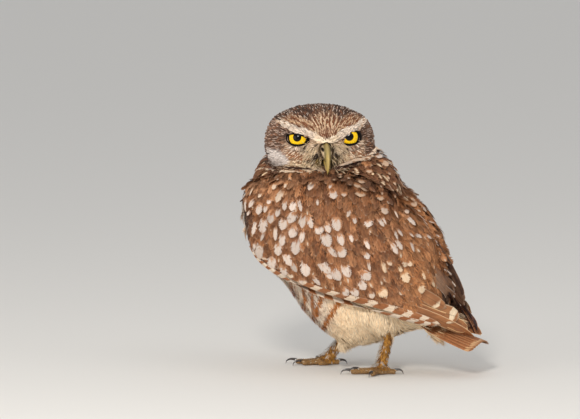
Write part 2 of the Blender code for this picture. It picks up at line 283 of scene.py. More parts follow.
# Colours of the bird.
EARTH = np.array(linear(118, 84, 60))
RUST = np.array(linear(160, 104, 66))
UMBER = np.array(linear(84, 60, 46))
SPOT = np.array(linear(232, 220, 205))
CREAM = np.array(linear(238, 220, 190))
BUFF = np.array(linear(205, 175, 140))
WHITE = np.array(linear(240, 234, 226))
SLATE = np.array(linear(58, 48, 48))
OCHRE = np.array(linear(196, 142, 60))
ASH = np.array(linear(200, 190, 178))
TAIL_BROWN = np.array(linear(170, 110, 70))
BAR_BROWN = np.array(linear(178, 112, 62))


def world(points):
    """Points in millimetres of the owl's frame as metres of the world."""
    return (np.asarray(points) + ORIGIN) * MM


def mesh_object(name, points, faces, smooth=True):
    """A mesh object from points in millimetres of the owl's frame."""
    mesh = bpy.data.meshes.new(name)
    mesh.from_pydata(world(points).tolist(), [], faces)
    mesh.update()
    if smooth:
        mesh.shade_smooth()
    obj = bpy.data.objects.new(name, mesh)
    bpy.context.scene.collection.objects.link(obj)
    return obj


def mesh_arrays(mesh):
    """Vertex places in millimetres of the owl's frame, and vertex normals."""
    count = len(mesh.vertices)
    places = np.empty(count * 3, np.float32)
    mesh.vertices.foreach_get("co", places)
    normals = np.empty(count * 3, np.float32)
    mesh.vertex_normals.foreach_get("vector", normals)
    return places.reshape(-1, 3).astype(float) / MM - ORIGIN, normals.reshape(-1, 3).astype(float)


# The solids as one surface, so that each place on the skin knows its part of the body.
cad_points, cad_faces, cad_owner = [], [], []
for owner, name in enumerate(FLESH):
    mesh = frame["nodes"][name].data
    start = len(cad_points)
    cad_points += [v.co / MM - owl_origin for v in mesh.vertices]
    cad_faces += [[start + k for k in face.vertices] for face in mesh.polygons]
    cad_owner += [owner] * len(mesh.polygons)
cad_surface = BVHTree.FromPolygons(cad_points, cad_faces)

HEAD, NECK, TRUNK, WING_LEFT, WING_RIGHT, TAIL, THIGH_LEFT, THIGH_RIGHT = range(8)
SHANK_LEFT, SHANK_RIGHT, FOOT_LEFT, FOOT_RIGHT = range(8, 12)

VOXEL = 1.25
SWELL = 0.3
WING_STUMP = 62  # behind this the wing's quills carry the shape, and the skin shrinks to a stump
TAIL_STUMP = 50
KNEES = {"thigh_left": (16.5, 33.5, 24), "thigh_right": (-16, -5.5, 22)}


def stump(name, points):
    """Draws the bare end of a wing or the tail in, as the flesh ends there and only quills go on."""
    if name.startswith("wing"):
        past = np.maximum(points[:, 1] - WING_STUMP, 0)
        points[:, 1] -= past * 0.62
        points[:, 2] += past * 0.28
        points[:, 0] *= 1 - np.clip(past / 80, 0, 0.3)
    if name == "trunk":
        points[:, 2] += 2.6 * step(points[:, 1], -3, 10) * step(-points[:, 2], -36, -22)
    if name.startswith("thigh"):
        knee = KNEES[name]
        low = step(-points[:, 2], -33, -21)[:, None] * (0.55, 0.45, 0)
        points += (np.array(knee) - points) * low
    if name == "tail":
        past = np.maximum(points[:, 1] - TAIL_STUMP, 0)
        points[:, 1] -= past * 0.72
        points[:, 2] += past * 0.12
        points[:, 0] *= 1 - np.clip(past / 60, 0, 0.45)
    return points


def rough_skin():
    """One closed mesh round all the flesh, from copies of the solids, with the eye sockets filled."""
    points, faces = [], []
    for name in FLESH:
        bm = bmesh.new()
        bm.from_mesh(frame["nodes"][name].data)
        bmesh.ops.remove_doubles(bm, verts=bm.verts, dist=0.00001)
        bm.normal_update()
        own = np.array([v.co / MM - owl_origin + v.normal * SWELL for v in bm.verts])
        start = len(points)
        points += stump(name, own).tolist()
        faces += [[start + v.index for v in face.verts] for face in bm.faces]
        bm.free()
    for side in (1, -1):
        ball = bmesh.new()
        bmesh.ops.create_uvsphere(ball, u_segments=20, v_segments=12, radius=EYE_RADIUS + 0.7)
        start = len(points)
        shift = np.array((side * EYE_SPREAD, -EYE_DEPTH + 3.6, EYE_HEIGHT))
        points += from_face(np.array([v.co for v in ball.verts]) + shift).tolist()
        faces += [[start + v.index for v in face.verts] for face in ball.faces]
        ball.free()
    blank = mesh_object("skin_blank", points, faces)
    remesh = blank.modifiers.new("one skin", "REMESH")
    remesh.mode = "VOXEL"
    remesh.voxel_size = VOXEL * MM
    remesh.adaptivity = 0
    graph = bpy.context.evaluated_depsgraph_get()
    mesh = bpy.data.meshes.new_from_object(blank.evaluated_get(graph), depsgraph=graph)
    old = blank.data
    bpy.data.objects.remove(blank)
    bpy.data.meshes.remove(old)
    return mesh


def finer(mesh):
    """Divides the faces of the face and the feet once more."""
    bm = bmesh.new()
    bm.from_mesh(mesh)
    middles = np.array([face.calc_center_median() for face in bm.faces]) / MM - ORIGIN
    local = to_face(middles)
    face_zone = (local[:, 1] < -12) & (np.abs(local[:, 0]) < 27) & (np.abs(local[:, 2]) < 18)
    foot_zone = middles[:, 2] < 9
    bm.faces.ensure_lookup_table()
    edges = {edge for k in np.nonzero(face_zone | foot_zone)[0] for edge in bm.faces[k].edges}
    bmesh.ops.subdivide_edges(bm, edges=list(edges), cuts=1, use_grid_fill=True)
    bmesh.ops.triangulate(bm, faces=[face for face in bm.faces if len(face.verts) > 4])
    bm.to_mesh(mesh)
    bm.free()
    return mesh


def spread(values, edges, count, factor):
    """Each row of values moved towards the mean of its neighbours by factor."""
    degree = np.bincount(edges.ravel(), minlength=count).astype(float)
    columns = values.reshape(count, -1)
    total = np.empty_like(columns)
    for k in range(columns.shape[1]):
        total[:, k] = np.bincount(edges[:, 0], columns[edges[:, 1], k], minlength=count)
        total[:, k] += np.bincount(edges[:, 1], columns[edges[:, 0], k], minlength=count)
    mean = total / np.maximum(degree, 1)[:, None]
    moved = columns + (mean - columns) * np.asarray(factor).reshape(-1, 1)
    return moved.reshape(values.shape)


def owners_of(points):
    """Which solid each place belongs to, and how far outside the skin that solid's surface is."""
    return np.array([cad_owner[cad_surface.find_nearest(Vector(p))[2]] for p in points])


def coat_depth(points, owner):
    """How thick the coat is over each place on the solids, in mm."""
    by_part = np.array([2.2, 3.4, 3.6, 3.0, 3.0, 1.4, 3.6, 3.6, 0.9, 0.9, 0.15, 0.15])
    depth = by_part[owner]
    local = to_face(points)
    front = step(-local[:, 1], 12, 22) * (owner == HEAD)
    return depth * (1 - front) + 1.3 * front


BROW_ROWS = np.array(((0, 4.4, 8.3), (5, 4.9, 9.6), (9, 6.7, 12.2), (14, 9.6, 13.8), (20, 11.6, 15.0), (28, 13.8, 16.6)))
LID_HEIGHT = 0.75
BROW_SWELL = 1.0


def brow_share(local):
    """1 on the pale brow that runs over both eyes and meets in a V over the bill."""
    x, y, z = np.abs(local[:, 0]), local[:, 1], local[:, 2]
    low, high = (np.interp(x, BROW_ROWS[:, 0], BROW_ROWS[:, k]) for k in (1, 2))
    inside = np.minimum(z - low, high - z)
    return step(inside, -0.4, 0.5) * step(-y, -2, 6) * (1 - step(x, 28, 31))


def with_lids(points, owner):
    """The skin drawn over each eye as lids, and out along the brow."""
    local = to_face(points)
    for side in (1, -1):
        middle, out, up, ahead = eye_frame(side)
        off = local - middle
        reach = np.linalg.norm(off, axis=1)
        way = off / reach[:, None]
        forward = way @ ahead
        open_by = beyond_lids(side, way @ out * EYE_RADIUS, way @ up * EYE_RADIUS)
        near = (forward > 0.1) & (reach < EYE_RADIUS + 6)
        lid = EYE_RADIUS + LID_HEIGHT * step(open_by, 0.2, 1.2) * step(forward, 0.1, 0.4)
        shut = np.maximum(reach, lid)
        opened = np.minimum(reach, EYE_RADIUS - 1.4)
        wanted = blend(opened[:, None], shut[:, None], step(open_by, -0.1, 0.6))[:, 0]
        local = np.where(near[:, None], middle + way * wanted[:, None], local)
    brow = brow_share(local) * (owner == HEAD)
    local[:, 1] -= BROW_SWELL * brow
    return from_face(local)


def make_skin():
    mesh = finer(rough_skin())
    count = len(mesh.vertices)
    points, normals = mesh_arrays(mesh)
    edges = np.empty(len(mesh.edges) * 2, np.int64)
    mesh.edges.foreach_get("vertices", edges)
    edges = edges.reshape(-1, 2)
    owner = owners_of(points)
    calm = np.where(points[:, 2] < 9, 0.15, 0.55)
    for _ in range(5):
        points = spread(points, edges, count, calm)
    mesh.vertices.foreach_set("co", (world(points)).astype(np.float32).ravel())
    mesh.update()
    points, normals = mesh_arrays(mesh)
    for _ in range(6):
        normals = unit(spread(normals, edges, count, 0.6))
    polygons = [face.vertices[:] for face in mesh.polygons]
    solid = BVHTree.FromPolygons([Vector(p) for p in points], polygons)
    room = np.empty(count)
    for k in range(count):
        hit = solid.ray_cast(Vector(points[k] - normals[k] * 0.3), Vector(-normals[k]), 30)
        room[k] = hit[3] if hit[0] else 30
    depth = np.minimum(coat_depth(points, owner), 0.3 * room)
    for _ in range(8):
        depth = spread(depth, edges, count, 0.5)
    points = with_lids(points - normals * (depth + SWELL)[:, None], owner)
    mesh.vertices.foreach_set("co", (world(points)).astype(np.float32).ravel())
    mesh.update()
    mesh.shade_smooth()
    obj = bpy.data.objects.new("skin", mesh)
    bpy.context.scene.collection.objects.link(obj)
    return obj, owner, depth


skin, skin_owner, skin_depth = make_skin()


def unwrap_skin():
    """An unwrap of the skin's own shape, in charts that don't overlap."""
    bpy.context.view_layer.objects.active = skin
    skin.select_set(True)
    bpy.ops.object.mode_set(mode="EDIT")
    bpy.ops.mesh.select_all(action="SELECT")
    bpy.ops.uv.smart_project(angle_limit=math.radians(66), island_margin=0.001)
    bpy.ops.object.mode_set(mode="OBJECT")
    skin.select_set(False)


unwrap_skin()

# Surface of the skin, as arrays.
skin_points, skin_normals = mesh_arrays(skin.data)
skin_tree = BVHTree.FromPolygons([Vector(p) for p in skin_points], [f.vertices[:] for f in skin.data.polygons])


def skin_triangles():
    """Corners of each triangle of the skin, and their places on its unwrap."""
    skin.data.calc_loop_triangles()
    count = len(skin.data.loop_triangles)
    corners = np.empty(count * 3, np.int32)
    loops = np.empty(count * 3, np.int32)
    skin.data.loop_triangles.foreach_get("vertices", corners)
    skin.data.loop_triangles.foreach_get("loops", loops)
    chart = np.empty(len(skin.data.loops) * 2, np.float32)
    skin.data.uv_layers[0].data.foreach_get("uv", chart)
    chart = chart.reshape(-1, 2).astype(float)
    return corners.reshape(-1, 3), chart, chart[loops.reshape(-1, 3)]


triangle_corners, skin_chart, triangle_charts = skin_triangles()

LOWER_EDGE = np.array(((-62, 96), (-57.5, 82), (-48, 69.5), (-27, 60), (0, 52), (29, 44.5), (58, 36), (75, 33)))
UPPER_EDGE = np.array(((-67, 117), (-62, 125), (-49, 131), (-21, 134), (10, 134), (38, 120), (62, 93), (77, 66)))


def wing_height(points):
    """How far up the folded wing a place is: 0 at its lower edge and 1 at its upper."""
    low = np.interp(points[:, 1], LOWER_EDGE[:, 0], LOWER_EDGE[:, 1])
    high = np.interp(points[:, 1], UPPER_EDGE[:, 0], UPPER_EDGE[:, 1])
    return (points[:, 2] - low) / (high - low)


def is_wing(owner):
    return (owner == WING_LEFT) | (owner == WING_RIGHT)


# The lie of the feathers.
BILL_ROOT = np.array((0, -30, 3))
EYE_RING = 9.0
STEEPNESS = np.array(((-62, 97), (-20, 88), (15, 70), (50, 58), (75, 50)))  # y, and degrees below the level
EDGE_SLOPE = np.array(((-60, 72), (-52, 53), (-38, 30), (-14, 22), (40, 18)))  # the same along the wing's lower edge


def face_lie(local):
    """The lie of the head's feathers in the face's frame: away from the bill, and away from each eye near it."""
    away = unit(local - BILL_ROOT)
    for side in (1, -1):
        middle, out, up, ahead = eye_frame(side)
        off = local - middle
        flat = off - np.outer(off @ ahead, ahead)
        near = np.exp(-(np.linalg.norm(flat, axis=1) / EYE_RING) ** 2) * (off @ ahead > 0)
        near = near * (1 - 0.9 * step(off @ up, -1, 3))
        away = unit(away + unit(flat) * (near * 2.4)[:, None])
    along = np.stack([np.sign(local[:, 0]), 0.35 + 0 * local[:, 0], 0.5 + 0 * local[:, 0]], 1)
    low = step(-local[:, 2], 6, 11) * (local[:, 1] < 0)
    away = unit(blend(away, unit(along * (1, 1, 0.5)), low * 0.75 * step(np.abs(local[:, 0]), 3, 8)))
    return unit(blend(away, unit(along), brow_share(local) * step(np.abs(local[:, 0]), 2, 8)))


def body_lie(points, owner):
    """The lie of the feathers at these places, in the owl's frame. It isn't yet flat on the skin."""
    x, y, z = points.T
    rest = np.zeros_like(points)
    rest[:] = (0, 0.72, -0.69)
    steep = np.interp(y, STEEPNESS[:, 0], STEEPNESS[:, 1]) + 14 * step(z, 104, 120) * step(-y, 30, 54)
    edge = np.interp(y, EDGE_SLOPE[:, 0], EDGE_SLOPE[:, 1]) + 12
    steep = np.radians(steep + (edge - steep) * np.exp(-np.maximum(wing_height(points), 0) / 0.09))
    wing = np.stack([np.zeros_like(x), np.cos(steep), -np.sin(steep)], 1)
    over_shoulder = step(z, 104, 122) * step(x * np.sign(x), 4, 12)
    wing = unit(wing + np.outer(over_shoulder, (1, 0, 0)) * np.sign(x)[:, None] * (1, 0, 0))
    rest = blend(rest, wing, is_wing(owner))
    under = np.stack([0.1 * np.sign(x), 0.8 + 0 * x, -0.56 - 0.5 * step(y, -15, 10)], 1)
    under = unit(under * (1, 0.2, 1) + np.outer(1 - step(y, -12, 12) * (z < 60), (0, 0.64, 0)))
    rest = blend(rest, under, (owner == TRUNK) & (z < 95) & (np.abs(x) > 4))
    rest = blend(rest, np.array((0, 0.05, -1.0)), (owner == TRUNK) * np.minimum(1.5 * mound(y, z, (-9, 18), (9, 9)), 1))
    rest = blend(rest, np.array((0, 0.12, -1.0)), (owner == THIGH_LEFT) | (owner == THIGH_RIGHT))
    rest = blend(rest, np.array((0, 0.9, -0.42)), (owner == TRUNK) * step(y, 34, 48) * (z < 60))
    rest = blend(rest, np.array((0, 0.97, -0.22)), owner == TAIL)
    below_head = unit(points - (CENTRE + (0, 6, 14))) + (0, 0, -0.45)
    rest = blend(rest, unit(below_head), owner == NECK)
    rest = blend(rest, np.array((0, 0.02, -1.0)), (owner == SHANK_LEFT) | (owner == SHANK_RIGHT))
    return unit(rest)


def lie(points, owner):
    local = to_face(points)
    head = unit(face_lie(local) @ TURN.T)
    body = body_lie(points, owner)
    on_head = (owner == HEAD) * step(local[:, 2] + 0.25 * (local[:, 1] > 0) * local[:, 1], -24, -15)
    return unit(blend(body, head, on_head))


class Tract:
    """Roots of the feathers of one tract. Each named value has one row for each root."""

    def __init__(self, **values):
        self.values = values

    def __getattr__(self, name):
        return self.values[name]

    def __len__(self):
        return len(self.values["place"])

    def put(self, **values):
        for name, value in values.items():
            value = np.asarray(value, float)
            rows = np.empty((len(self), *value.shape[value.ndim - (value.ndim > 1):]))
            rows[:] = value
            self.values[name] = rows
        return self

    def only(self, kept):
        return Tract(**{name: rows[kept] for name, rows in self.values.items()})


def thin_out(points, spacing):
    """Which points stay when no two are nearer than their spacing, taking them in order."""
    cell = float(spacing.max())
    keys = np.floor(points / cell).astype(int).tolist()
    rows = points.tolist()
    limits = (spacing**2).tolist()
    grid = {}
    kept = []
    around = [(i, j, k) for i in (-1, 0, 1) for j in (-1, 0, 1) for k in (-1, 0, 1)]
    for index, (a, b, c) in enumerate(keys):
        x, y, z = rows[index]
        limit = limits[index]
        free = True
        for i, j, k in around:
            for p, q, r in grid.get((a + i, b + j, c + k), ()):
                if (p - x) ** 2 + (q - y) ** 2 + (r - z) ** 2 < limit:
                    free = False
                    break
            if not free:
                break
        if free:
            grid.setdefault((a, b, c), []).append((x, y, z))
            kept.append(index)
    return np.array(kept)


def scatter(inside, spacing, seed):
    """Roots spread over the part of the skin where inside(places, owners) holds, spacing(places, owners) apart."""
    rng = np.random.default_rng(seed)
    a, b, c = (skin_points[triangle_corners[:, k]] for k in range(3))
    middle = (a + b + c) / 3
    owner = skin_owner[triangle_corners[:, 0]]
    area = np.linalg.norm(np.cross(b - a, c - a), axis=1) / 2
    chosen = inside(middle, owner)
    share = np.where(chosen, area / spacing(middle, owner) ** 2, 0)
    count = int(share.sum() * 7)
    pick = rng.choice(len(share), count, p=share / share.sum())
    u, v = rng.random(count), rng.random(count)
    flip = u + v > 1
    u, v = np.where(flip, 1 - u, u), np.where(flip, 1 - v, v)
    weights = np.stack([1 - u - v, u, v], 1)[:, :, None]
    corners = triangle_corners[pick]
    place = (skin_points[corners] * weights).sum(1)
    found = Tract(
        place=place,
        out=unit((skin_normals[corners] * weights).sum(1)),
        chart=(triangle_charts[pick] * weights).sum(1),
        depth=(skin_depth[corners] * weights[:, :, 0]).sum(1),
        owner=skin_owner[corners[:, 0]],
    )
    kept = thin_out(place, spacing(place, found.owner))
    found = found.only(kept)
    found.values["random"] = rng.random((len(found), 8))
    return found


def roots_at(points, seed):
    """Roots at the nearest places on the skin."""
    rng = np.random.default_rng(seed)
    places, outs, charts, corners = [], [], [], []
    for point in points:
        place, normal, index, distance = skin_tree.find_nearest(Vector(point))
        polygon = skin.data.polygons[index]
        near = list(polygon.vertices)
        places.append(np.array(place))
        outs.append(unit(skin_normals[near].sum(0)))
        charts.append(skin_chart[list(polygon.loop_indices)].mean(0))
        corners.append(near[0])
    return Tract(
        place=np.array(places), out=np.array(outs), chart=np.array(charts),
        depth=skin_depth[corners], owner=skin_owner[corners], random=rng.random((len(places), 8)),
    )


def height_over(tree, points, out, reach):
    """How high the surface stands over each point along its out direction, or nan where it misses."""
    heights = np.full(len(points), np.nan)
    starts = points + out * reach[:, None]
    for k in range(len(points)):
        hit = tree.ray_cast(Vector(starts[k]), Vector(-out[k]), 2.2 * reach[k])
        if hit[0] is not None:
            heights[k] = reach[k] - hit[3]
    return heights


def lay(tract, ahead, length, width, rise, tree=skin_tree):
    """Works out how each feather leaves its root, follows the skin and ends a coat's depth above it."""
    tract.put(length=length, width=width, rise=rise)
    length, out, place = tract.length, tract.out, tract.place
    flat = unit(ahead - out * (ahead * out).sum(1, keepdims=True))
    reach = 0.6 * length + 4
    tip = place + flat * length[:, None]
    drop = height_over(tree, tip, out, reach)
    fall = 0.14 + 0.4 * step(-place[:, 1], 34, 46) * (tract.owner != HEAD)
    drop = np.where(np.isnan(drop) | (drop < -0.45 * length), -fall * length, np.minimum(drop, 0.3 * length))
    tip = tip + out * drop[:, None]
    reach_out = np.linalg.norm(tip - place, axis=1)
    chord = (tip - place) / reach_out[:, None]
    normal = unit(out - chord * (out * chord).sum(1, keepdims=True))
    side = np.cross(chord, normal)
    middle = place + chord * (length / 2)[:, None]
    bow = height_over(tree, middle, normal, reach)
    bow = np.clip(np.nan_to_num(bow, nan=0.0), -0.04 * length, 0.25 * length)
    sag = np.zeros(len(tract))
    for sign in (1, -1):
        edge = middle + side * (sign * tract.width / 2)[:, None]
        beside = height_over(tree, edge, normal, reach)
        beside = np.where(np.isnan(beside), bow - 0.1 * tract.width, beside)
        sag += np.clip(bow - beside, -0.05 * tract.width, 0.3 * tract.width) / 2
    return tract.put(ahead=chord, side=side, out=normal, bow=bow, sag=sag)


# Shapes of one feather, 1 long and 1 wide. Each has few faces, because it is repeated many times.


def shape_object(points, faces, places):
    """A feather's shape as an object that the tree copies. places holds each point's place across and along."""
    mesh = bpy.data.meshes.new("feather_shape")
    mesh.from_pydata(points, [], faces)
    for label, rows in (("outline", points), ("place", places)):
        layer = mesh.attributes.new(label, "FLOAT_VECTOR", "POINT")
        layer.data.foreach_set("vector", np.array(rows, np.float32).ravel())
    mesh.shade_smooth()
    return bpy.data.objects.new("feather_shape", mesh)


def vane(rng, barbs, base=0.45, tip=0.4, notch=0.1, sweep=0.3, splits=0.2):
    """A feather with a vane each side of its shaft, split at its margin into groups of barbs."""
    peak = (base / (base + tip)) ** base * (tip / (base + tip)) ** tip
    points, places, faces = [], [], []

    def half(s):
        return 0.5 * s**base * max(1 - s, 0) ** tip / peak

    def add(x, y, z, across):
        points.append((x, y, z))
        places.append((across, y, 0))
        return len(points) - 1

    shafts = [add(0, k / barbs, 0.01, 0) for k in range(barbs + 1)]
    for sign in (1, -1):
        inner = []
        for k in range(barbs + 1):
            s = k / barbs
            end = s + sweep * (1 - s)
            inner.append(add(sign * 0.55 * half(end), s + 0.5 * (end - s), 0.004, sign * 0.55))
        for k in range(barbs):
            low, high = k / barbs, (k + 1) / barbs
            low_end, high_end = low + sweep * (1 - low), high + sweep * (1 - high)
            deep = notch + (rng.uniform(0.1, 0.35) if rng.random() < splits else 0)
            near = add(sign * half(low_end) * (1 - deep), low_end + 0.15 / barbs, -0.01, sign * (1 - deep))
            far = add(sign * half(high_end), high_end, rng.uniform(-0.006, 0.006), sign)
            ring = [(shafts[k], inner[k], inner[k + 1], shafts[k + 1]), (inner[k], near, far, inner[k + 1])]
            faces += [face if sign > 0 else face[::-1] for face in ring]
    return shape_object(points, faces, places)


def tuft(rng, strands, spread_out, thick, segments, curl=0.12, shortest=0.7):
    """A tuft of fine strands that fan out from one root."""
    points, places, faces = [], [], []
    for k in range(strands):
        lean = spread_out * (2 * (k + 0.5) / strands - 1) + rng.normal(0, 0.05)
        reach = rng.uniform(shortest, 1.0)
        lift = rng.uniform(-0.05, 0.05)
        bend = rng.normal(0, curl)
        start = len(points)
        for j in range(segments + 1):
            s = j / segments
            middle = np.array((lean * s * reach + bend * s * s, s * reach, lift * s))
            wide = thick * (1 - s) ** 0.6 * (0.7 + 0.6 * math.sin(math.pi * s))
            for sign in (-1, 1):
                if j == segments and sign > 0:
                    continue
                points.append(tuple(middle + (sign * wide * (j < segments), 0, 0)))
                places.append((lean / max(spread_out, 0.01), s, 0))
        for j in range(segments - 1):
            a = start + 2 * j
            faces.append((a, a + 1, a + 3, a + 2))
        a = start + 2 * (segments - 1)
        faces.append((a, a + 1, a + 2))
    return shape_object(points, faces, places)


VARIANTS = 4
PATCH = 0.003  # how wide each feather's place is on the unwrap


def shapes(name, make, seed, **sizes):
    """A few different shapes of one kind of feather."""
    rng = np.random.default_rng(seed)
    kinds = bpy.data.collections.new(name)
    for _ in range(VARIANTS):
        kinds.objects.link(make(rng, **sizes))
    return kinds


def feather_tree():
    """The tree that puts one feather on each root and bends it along the skin."""
    tree = bpy.data.node_groups.new("lay feathers", "GeometryNodeTree")
    face = tree.interface
    face.new_socket("Geometry", in_out="OUTPUT", socket_type="NodeSocketGeometry")
    face.new_socket("Roots", in_out="INPUT", socket_type="NodeSocketGeometry")
    face.new_socket("Shapes", in_out="INPUT", socket_type="NodeSocketCollection")
    face.new_socket("Patch", in_out="INPUT", socket_type="NodeSocketFloat")
    face.new_socket("Finish", in_out="INPUT", socket_type="NodeSocketMaterial")
    net = Net(tree)
    given = net.node("NodeGroupInput").outputs
    given = {socket.name: Value(net, socket) for socket in given if socket.name}

    def read(name, kind="FLOAT_VECTOR"):
        return net.value("GeometryNodeInputNamedAttribute", {"data_type": kind}, {"Name": name})

    kinds = net.value(
        "GeometryNodeCollectionInfo", {},
        {"Collection": given["Shapes"], "Separate Children": True, "Reset Children": True},
    )
    copies = net.value(
        "GeometryNodeInstanceOnPoints", {},
        {"Points": given["Roots"], "Instance": kinds, "Pick Instance": True, "Instance Index": read("kind", "INT")},
    )
    real = net.value("GeometryNodeRealizeInstances", {}, {"Geometry": copies})
    x, y, z = net.parts(read("outline"))
    length, width, rise = net.parts(read("sizes"))
    bow, sag, sway = net.parts(read("bends"))
    twist, arch, _ = net.parts(read("turns"))
    back = 1 - y
    up = rise * (1 - back * back) + bow * 4 * y * back - sag * 4 * x * x + z * length
    up = up + twist * x * width + arch * y * y * y
    place = net.vector("ADD", read("root"), net.vector("SCALE", read("ahead"), scale=y * length))
    place = net.vector("ADD", place, net.vector("SCALE", read("out"), scale=up))
    place = net.vector("ADD", place, net.vector("SCALE", read("side"), scale=x * width + sway * y * y))
    placed = net.value("GeometryNodeSetPosition", {}, {"Geometry": real, "Position": place})
    across, along, _ = net.parts(read("place"))
    u, v, _ = net.parts(read("chart"))
    patch = given["Patch"]
    chart = net.value(
        "ShaderNodeCombineXYZ", {}, {0: u + across * 0.5 * patch, 1: v + (along - 0.5) * patch}
    )
    mapped = net.value(
        "GeometryNodeStoreNamedAttribute",
        {"data_type": "FLOAT2", "domain": "CORNER"},
        {"Geometry": placed, "Name": "OFBake", "Value": chart},
    )
    done = net.value("GeometryNodeSetMaterial", {}, {"Geometry": mapped, "Material": given["Finish"]})
    end = net.node("NodeGroupOutput")
    tree.links.new(done.socket, end.inputs[0])
    return tree


FEATHER_TREE = feather_tree()
coat_pieces = []
parts_that_replace = []


def store(mesh, label, rows):
    layer = mesh.attributes.new(label, "FLOAT_VECTOR", "POINT")
    layer.data.foreach_set("vector", np.asarray(rows, np.float32).ravel())


def grow(name, tract, kinds, finish, slot="brown_plumage"):
    """One piece of coat: a feather of one of these shapes on each root of the tract."""
    mesh = bpy.data.meshes.new(name)
    mesh.from_pydata(world(tract.place).tolist(), [], [])
    zero = np.zeros(len(tract))
    more = {label: tract.values.get(label, zero) for label in ("sway", "twist", "arch")}
    vectors = {
        "root": world(tract.place),
        "ahead": tract.ahead,
        "side": tract.side,
        "out": tract.out,
        "sizes": np.stack([tract.length, tract.width, tract.rise], 1) * MM,
        "bends": np.stack([tract.bow, tract.sag, more["sway"]], 1) * MM,
        "turns": np.stack([more["twist"], more["arch"] * MM, zero], 1),
        "chart": np.column_stack([tract.chart, zero]),
        "ground": tract.ground,
        "mark": tract.mark,
        "signs": np.stack([tract.spot_width, tract.spot_length, tract.spot_centre], 1),
        "tells": np.stack([tract.lean, tract.pair, tract.random[:, 0]], 1),
        "trims": np.stack([tract.streak, tract.bars, tract.edge], 1),
    }
    for label, rows in vectors.items():
        store(mesh, label, rows)
    layer = mesh.attributes.new("kind", "INT", "POINT")
    layer.data.foreach_set("value", (tract.random[:, 3] * VARIANTS).astype(np.int32))
    roots = bpy.data.objects.new(name + "_roots", mesh)
    bpy.context.scene.collection.objects.link(roots)
    modifier = roots.modifiers.new("feathers", "NODES")
    modifier.node_group = FEATHER_TREE
    inputs = {item.name: item.identifier for item in FEATHER_TREE.interface.items_tree if item.in_out == "INPUT"}
    modifier[inputs["Shapes"]] = kinds
    modifier[inputs["Patch"]] = PATCH
    modifier[inputs["Finish"]] = finish
    graph = bpy.context.evaluated_depsgraph_get()
    grown = bpy.data.meshes.new_from_object(
        roots.evaluated_get(graph), preserve_all_data_layers=True, depsgraph=graph
    )
    grown.name = name
    for label in ("root", "ahead", "side", "out", "sizes", "bends", "turns", "chart", "outline", "kind"):
        if label in grown.attributes:
            grown.attributes.remove(grown.attributes[label])
    roots.modifiers.clear()
    bpy.data.objects.remove(roots)
    bpy.data.meshes.remove(mesh)
    piece = bpy.data.objects.new(name, grown)
    bpy.context.scene.collection.objects.link(piece)
    coat_pieces.append((piece, slot))
    print(f"{name}: {len(tract)} feathers, {sum(len(p.vertices) - 2 for p in grown.polygons)} triangles")
    return piece


def marked(tract, ground, mark=None, spot_width=0, spot_length=0.1, spot_centre=0.8, lean=0, pair=0,
           streak=0, bars=0, edge=0):
    """Gives a tract its colours, and the size and place of its feathers' markings."""
    return tract.put(
        ground=ground, mark=ground if mark is None else mark, spot_width=spot_width, spot_length=spot_length,
        spot_centre=spot_centre, lean=lean, pair=pair, streak=streak, bars=bars, edge=edge,
    )


# Finishes.


